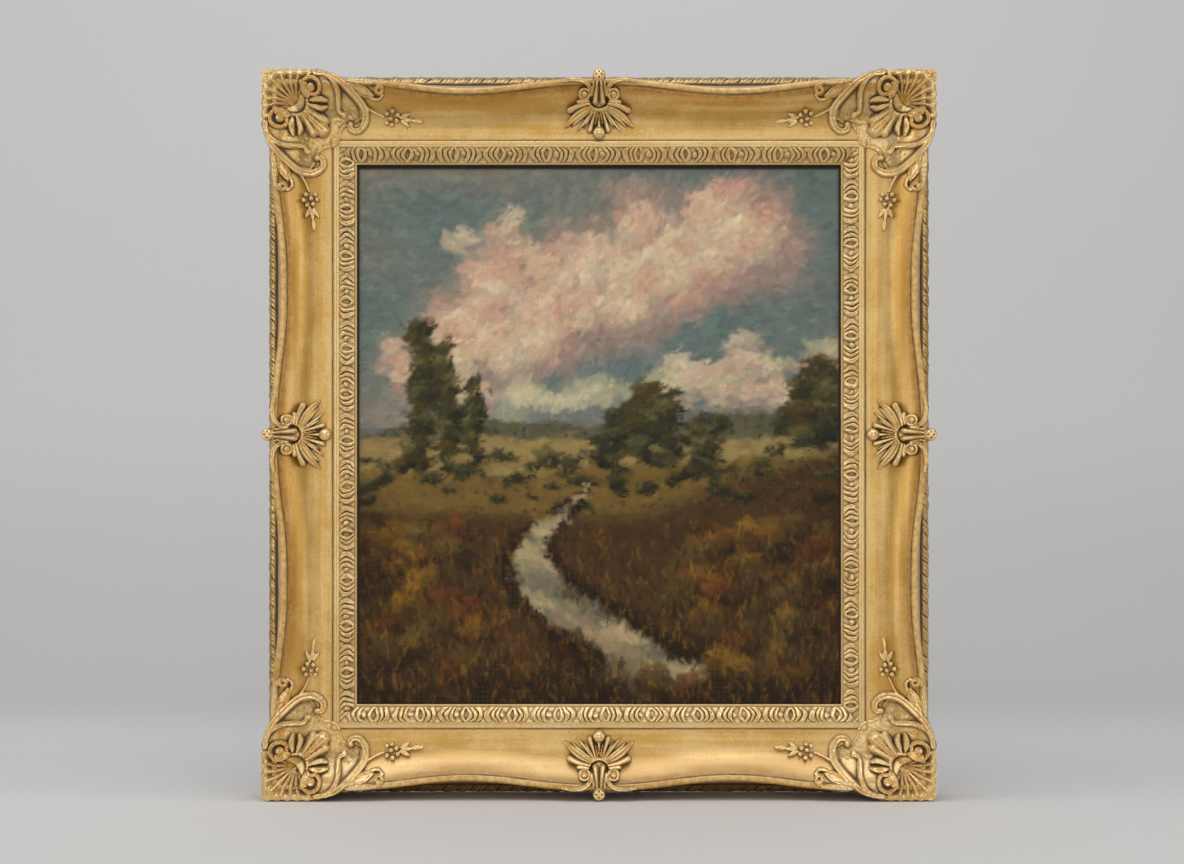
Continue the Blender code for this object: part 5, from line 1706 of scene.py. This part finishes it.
        lie = abs(math.sin(angle))
        self.lies[window] += (lie - self.lies[window]) * cover

    def stroke_angle(self, across: float, down: float) -> float:
        """The brush's usual turn: sweeping in the sky, level on the plain, upright in the grass."""
        wander = self.random.normal()
        if down < 0.46:
            return -0.55 + 0.7 * math.sin(7.0 * across + 5.0 * down) + 0.45 * wander
        if down < 0.62:
            return 0.05 + 0.35 * wander
        upright = min(1.0, (down - 0.62) / 0.3)
        return 0.15 + 1.25 * upright * (1 if self.random.random() < 0.8 else 0.2) + 0.35 * wander

    def under(self, across: float, down: float) -> Array:
        """The composition's colour at a place."""
        rows, columns = self.x.shape
        return self.target[min(int(down * rows), rows - 1), int(across * columns)]

    def paint(self) -> tuple[Array, Array]:
        """Paint the composition from large strokes to small ones.

        Returns:
            The finished colours and an earlier state of them, both on the fine raster.
        """
        self.compose()
        big = np.repeat(np.repeat(self.target, 2, axis=0), 2, axis=1)
        self.colours = np.zeros((self.rows, self.columns, 3)) + Pigment.EARTH
        self.colours[:big.shape[0], :big.shape[1]] = 0.85 * big + 0.15 * Pigment.EARTH
        self.loads = np.zeros((self.rows, self.columns))
        self.lies = np.zeros((self.rows, self.columns))
        earlier = None
        for many, length, breadth, spread in ((1500, 0.030, 0.011, 0.050),
                                              (5200, 0.016, 0.0062, 0.045),
                                              (9000, 0.0085, 0.0036, 0.050)):
            for _ in range(many):
                across, down = self.random.random(2)
                if breadth < 0.004 and down < 0.45 and self.random.random() < 0.35:
                    continue
                source = self.under(across, down)
                shift = self.random.normal(size=3) * 0.30 + self.random.normal()
                colour = source * (1 + spread * shift)
                size = 0.65 + 0.7 * self.random.random()
                self.dab(across, down, length * size, breadth * size,
                         self.stroke_angle(across, down), np.clip(colour, 0, 1), size)
            earlier = self.colours.copy() if breadth > 0.005 else earlier
        self.accents()
        return self.colours, earlier

    def accents(self) -> None:
        """Last touches: grass blades, leaf lights and darks, and lights on the clouds."""
        random = self.random
        grass = [Pigment.OCHRE, Pigment.RUST, Pigment.DARK_EARTH, Pigment.OLIVE,
                 Pigment.DARK_EARTH, Pigment.MEADOW]
        for _ in range(2600):
            across, down = random.random(), 0.66 + 0.36 * random.random() ** 0.8
            source = self.under(across, down)
            if source.mean() > 0.42:
                continue
            colour = 0.55 * grass[random.integers(len(grass))] + 0.45 * source
            length, breadth = 0.006 + 0.008 * random.random(), 0.0014 + 0.001 * random.random()
            self.dab(across, down, length, breadth, 1.45 + 0.30 * random.normal(), colour, 0.9)
        for _ in range(1500):
            across, down = random.random(), 0.30 + 0.34 * random.random()
            source = self.under(across, down)
            if source.mean() > 0.36:
                continue
            light = Pigment.LEAF_LIGHT if random.random() < 0.45 else Pigment.LEAF_DARK
            self.dab(across, down, 0.0042, 0.0028, 3.1 * random.random(),
                     0.5 * light + 0.5 * source, 1.1)
        for _ in range(900):
            across, down = random.random(), 0.44 * random.random()
            source = self.under(across, down)
            if source[0] < 0.76:
                continue
            colour = np.clip(source * (1.03 + 0.04 * random.random()), 0, 1)
            self.dab(across, down, 0.010, 0.0052, -0.6 + 0.8 * random.normal(), colour, 1.5)


@dataclass
class Canvas:
    """The painted canvas: a grid of thick and thin paint, turned back over the stretcher."""

    layout: Layout
    cell: float = 0.0018
    lapped: float = 0.006
    cloth: float = 0.0012
    paint_depth: float = 0.00028
    # Soot and painted shadow along the frame's edge: its colour, its reach at the top, sides and
    # foot, and its softness.
    soot_and_shadow: tuple[float, float, float] = (0.036, 0.022, 0.012)
    soot_and_shadow_reach: tuple[float, float, float] = (0.0044, 0.0026, 0.0008)
    soot_and_shadow_soft: float = 0.0016

    def build(self, finish: OilPaint) -> bpy.types.Object:
        """Paint the landscape and carry it to the mesh, closed at the sides and behind."""
        low, high = self.layout.canvas_low, self.layout.canvas_high
        width, height = high.x - low.x, high.z - low.z
        columns, rows = round(width / self.cell) + 1, round(height / self.cell) + 1
        picture = Landscape(width, height)
        colours, earlier = picture.paint()
        down = np.linspace(0, picture.rows - 1, rows)
        across = np.linspace(0, picture.columns - 1, columns)
        fields = np.concatenate([colours, earlier, picture.loads[..., None],
                                 picture.lies[..., None]], axis=2)
        fields = self.resample(fields, down, across)
        x = np.tile(np.linspace(low.x, high.x, columns), (rows, 1))
        z = np.repeat(np.linspace(high.z, low.z, rows)[:, None], columns, axis=1)
        from_edge = np.minimum(np.minimum(x - low.x, high.x - x), np.minimum(z - low.z, high.z - z))
        thick = self.paint_depth * fields[..., 6] * ease((from_edge - 0.001) / 0.004)
        y = low.y + self.paint_depth * 1.5 - thick
        front = np.stack([x, y, z], -1).reshape(-1, 3)
        rim = np.concatenate([
            np.arange(columns), np.arange(1, rows) * columns + columns - 1,
            (rows - 1) * columns + np.arange(columns - 2, -1, -1),
            np.arange(rows - 2, 0, -1) * columns])
        edge = front[rim]
        inner = edge.copy()
        inner[:, 0] = np.clip(edge[:, 0], low.x + self.cloth, high.x - self.cloth)
        inner[:, 2] = np.clip(edge[:, 2], low.z + self.cloth, high.z - self.cloth)
        rings = [np.insert(ring[:, ::2], 1, depth, axis=1) for ring, depth in (
            (edge, high.y), (inner, high.y), (inner, low.y + self.cloth))]
        points = np.concatenate([front, *rings])
        loops = [rim, *(len(front) + k * len(rim) + np.arange(len(rim)) for k in range(3))]
        bands = [np.stack([a, np.roll(a, -1), np.roll(b, -1), b], 1)
                 for a, b in zip(loops[:-1], loops[1:])]
        polygons = [grid_quads(rows, columns)[:, ::-1], np.concatenate(bands), loops[-1][None, :]]
        extra = len(points) - len(front)
        # Soot and painted shadow: the paint darkens along the frame's edge. The band is widest at
        # the top, narrower at the sides and least at the foot, where the sight edge's shadow would
        # fall from above.
        top, sides, foot = (self.lapped + reach for reach in self.soot_and_shadow_reach)
        clear = np.minimum(np.minimum(high.z - z - top, z - low.z - foot),
                           np.minimum(x - low.x, high.x - x) - sides)
        clean_and_unshaded = ease(clear / self.soot_and_shadow_soft + 0.5)[..., None]
        linear = np.clip(fields[..., :6], 0, 1) ** 2.2
        linear = (np.array(self.soot_and_shadow * 2) * (1 - clean_and_unshaded) + linear * clean_and_unshaded).reshape(-1, 6)
        plain = np.tile(np.array([0.2, 0.15, 0.1, 1.0]), (extra, 1))
        ones = np.ones((len(front), 1))
        attributes = {
            "paint": np.concatenate([np.concatenate([linear[:, :3], ones], 1), plain]),
            "broken": np.concatenate([np.concatenate([linear[:, 3:], ones], 1), plain]),
            "front": np.concatenate([np.ones(len(front)), np.zeros(extra)]),
            "lie": np.concatenate([fields[..., 7].ravel(), np.zeros(extra)]),
            "load": np.concatenate([fields[..., 6].ravel(), np.zeros(extra)])}
        piece = make_piece("painted_canvas", points, polygons, attributes)
        dress(piece, finish.material(), "oil_paint", "canvas")
        return piece

    @property
    def flat(self) -> tuple[float, float]:
        """The cloth's width and length laid flat: its face and the edges turned back all round."""
        size = self.layout.canvas_high - self.layout.canvas_low
        return size.x + 2 * size.y, size.z + 2 * size.y

    @staticmethod
    def resample(fields: Array, down: Array, across: Array) -> Array:
        """Read a raster, lightly smoothed, at rows and columns between its own."""
        soft = np.stack([blur(fields[..., k], 0.6) for k in range(fields.shape[2])], 2)
        row, column = down.astype(int), across.astype(int)
        next_row = np.minimum(row + 1, soft.shape[0] - 1)
        next_column = np.minimum(column + 1, soft.shape[1] - 1)
        v, u = (down - row)[:, None, None], (across - column)[None, :, None]
        top = soft[row][:, column] * (1 - u) + soft[row][:, next_column] * u
        low = soft[next_row][:, column] * (1 - u) + soft[next_row][:, next_column] * u
        return top * (1 - v) + low * v


# Studio

@dataclass
class Studio:
    """A pale seamless floor and backdrop, soft light from above, and the camera."""

    layout: Layout
    floor_level: float
    distance: float = 2.3
    sight_depth: float = 0.031
    lens: float = 76.1
    offset: tuple[float, float] = (-0.0064, 0.0023)
    wall_gap: float = 1.15
    cove: float = 0.9
    half_width: float = 4.0
    reach: float = 1.1
    tall: float = 3.6
    # Painted light and shade on the paper: its base tone and what each zone adds.
    base_tone: float = 0.81
    bend_tone: float = -0.135
    wall_tone: float = 0.075
    high_tone: float = 0.030
    aside_tone: float = -0.075
    near_tone: float = -0.40

    def backdrop(self) -> None:
        """One curved sheet: a floor, a quarter circle and a wall, as a profile carried along X."""
        turn = np.linspace(0, np.pi / 2, 32)
        start = self.wall_gap - self.cove
        floor = np.linspace(-self.reach, start, 12)[:-1]
        y = np.concatenate([floor, start + self.cove * np.sin(turn), [self.wall_gap]])
        z = np.concatenate([np.zeros(len(floor)), self.cove * (1 - np.cos(turn)), [self.tall]])
        x = np.linspace(-self.half_width, self.half_width, 3)
        points = np.stack([np.repeat(x[:, None], len(y), 1), np.tile(y, (3, 1)),
                           np.tile(z + self.floor_level, (3, 1))], -1).reshape(-1, 3)
        mesh = bpy.data.meshes.new("studio_backdrop")
        mesh.from_pydata(points.tolist(), [], grid_quads(3, len(y))[:, ::-1].tolist())
        mesh.shade_smooth()
        mesh.materials.append(self.paper())
        sheet = place_object("studio_backdrop", mesh)
        sheet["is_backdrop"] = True

    def paper(self) -> bpy.types.Material:
        """Grey paper with painted light and shade: paler above, darker in the bend, aside and in
        front, and clear from behind.

        Each tone is added over its own zone. The sheet's back is clear so that the piece can
        also be seen from behind.
        """
        g = Graph("studio_grey")
        split = g.node("SeparateXYZ", None, Vector=g.place)
        level = g.less(split.outputs[2], self.floor_level)
        aside = g.ramp(g.maths("ABSOLUTE", split.outputs[0]), 0.1, 1.1)
        near = g.ramp(g.times(split.outputs[1], -1.0), 0.45, 0.65)
        # Painted light and shade: each zone adds its own tone.
        tone = self.base_tone
        for zone, change in ((g.ramp(level, 0.0, 0.035), self.bend_tone),
                             (g.ramp(level, 0.12, 0.40), self.wall_tone),
                             (g.ramp(level, 0.40, 0.95), self.high_tone),
                             (aside, self.aside_tone), (near, self.near_tone)):
            tone = g.add(tone, g.times(zone, change))
        grey = g.node("CombineColor", None, Red=tone, Green=tone, Blue=tone).outputs[0]
        paper = g.finish(grey, 0.9, 0.0, None)
        behind = g.node("NewGeometry").outputs["Backfacing"]
        clear = g.node("BsdfTransparent").outputs[0]
        mixed = g.node("MixShader", None, i0=behind, i1=g.shader.outputs[0], i2=clear)
        output = next(node for node in paper.node_tree.nodes if node.type == "OUTPUT_MATERIAL")
        g.join(mixed.outputs[0], output.inputs["Surface"])
        return paper

    def lamp(self, name: str, place: tuple[float, float, float], size: tuple[float, float],
             power: float, colour: tuple[float, float, float]) -> None:
        """A soft rectangular lamp aimed at the picture's centre."""
        data = bpy.data.lights.new(name, "AREA")
        data.shape = "RECTANGLE"
        data.size, data.size_y = size
        data.energy = power
        data.color = colour
        lamp = place_object(name, data)
        lamp.location = self.layout.centre + Vector(place)
        aim = self.layout.centre - lamp.location
        lamp.rotation_euler = aim.to_track_quat("-Z", "Y").to_euler()

    def build(self) -> None:
        """Set up backdrop, lamps, the room's light and the camera."""
        self.backdrop()
        self.lamp("top_softbox", (-0.15, -0.8, 1.9), (3.2, 2.0), 29.0, (1.0, 0.985, 0.96))
        self.lamp("left_panel", (-2.3, -0.7, 0.3), (1.4, 2.2), 14.0, (1.0, 0.99, 0.98))
        self.lamp("right_panel", (2.3, -0.7, 0.3), (1.4, 2.2), 12.5, (1.0, 0.99, 0.98))
        self.lamp("front_fill", (0.0, -3.3, 0.15), (3.4, 2.4), 22.5, (1.0, 0.99, 0.98))
        world = bpy.data.worlds.new("studio_air")
        world.use_nodes = True
        air = world.node_tree.nodes["Background"].inputs
        air["Color"].default_value = (0.95, 0.97, 1.0, 1.0)
        air["Strength"].default_value = 0.18
        scene = bpy.context.scene
        scene.world = world
        scene.view_settings.view_transform = "Standard"
        data = bpy.data.cameras.new("camera")
        data.lens = self.lens
        data.sensor_width = 36.0
        camera = place_object("camera", data)
        camera.location = (self.offset[0], -self.sight_depth - self.distance,
                           self.layout.centre.z + self.offset[1])
        camera.rotation_euler = (math.pi / 2, 0.0, 0.0)
        scene.camera = camera


def main() -> None:
    """Load the frame, build each class in order, and keep the sizes from before the build."""
    logging.basicConfig(level=logging.INFO, format="%(message)s")
    for thing in list(bpy.data.objects):
        bpy.data.objects.remove(thing)
    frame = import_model()
    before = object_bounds()
    layout = Layout.from_nodes()
    rail_section, slip_section = RailSection(), SlipSection()
    rail_gold = Gilding("gilding_on_rails", streaks=0.7, rubbing=0.4, roughness=0.36).material()
    back_gold = Gilding("gilding_on_back_moulding", dirt_and_shade=(0.10, 0.035, 0.014, 1.0), streaks=0.0,
                        sparkle=0.6, grime_and_shade=1.2, grain=0.6, roughness=0.24).material()
    slip_gold = Gilding(
        "gilding_on_slips", light=(1.0, 0.74, 0.37, 1.0),
        deep=(0.84, 0.56, 0.20, 1.0), dirt_and_shade=(0.15, 0.068, 0.018, 1.0),
        streaks=0.1, sparkle=0.45, burnish_and_highlight=0.45, coat=0.1, patchy=0.1,
        rubbing=0.1, grain=0.45, roughness=0.24, metal=0.75).material()
    cast_gold = Gilding(
        "gilding_on_castings", light=(1.0, 0.73, 0.35, 1.0),
        deep=(0.70, 0.43, 0.12, 1.0), dirt_and_shade=(0.105, 0.058, 0.024, 1.0),
        streaks=0.0, sparkle=0.5, burnish_and_highlight=0.6, coat=0.1, patchy=0.1,
        rubbing=0.05, grain=0.5, roughness=0.20, metal=0.7).material()
    for side in Side:
        Rail(side, layout, rail_section).build(rail_gold, back_gold)
        Slip(side, layout, slip_section).build(slip_gold)
    CornerCasting(layout, rail_section, slip_section).build(cast_gold)
    CentreCasting(layout, rail_section, slip_section).build(cast_gold)
    canvas = Canvas(layout)
    canvas.build(OilPaint())
    for side in Side:
        upright = side in (Side.RIGHT, Side.LEFT)
        bar = frame["nodes"]["stretcher_" + side.word]
        pine = Timber("pine_upright" if upright else "pine_level", upright).material()
        bar.data.materials.clear()
        bar.data.materials.append(pine)
    Studio(layout, before[0].z - 0.0005).build()


if __name__ == "__main__":
    main()
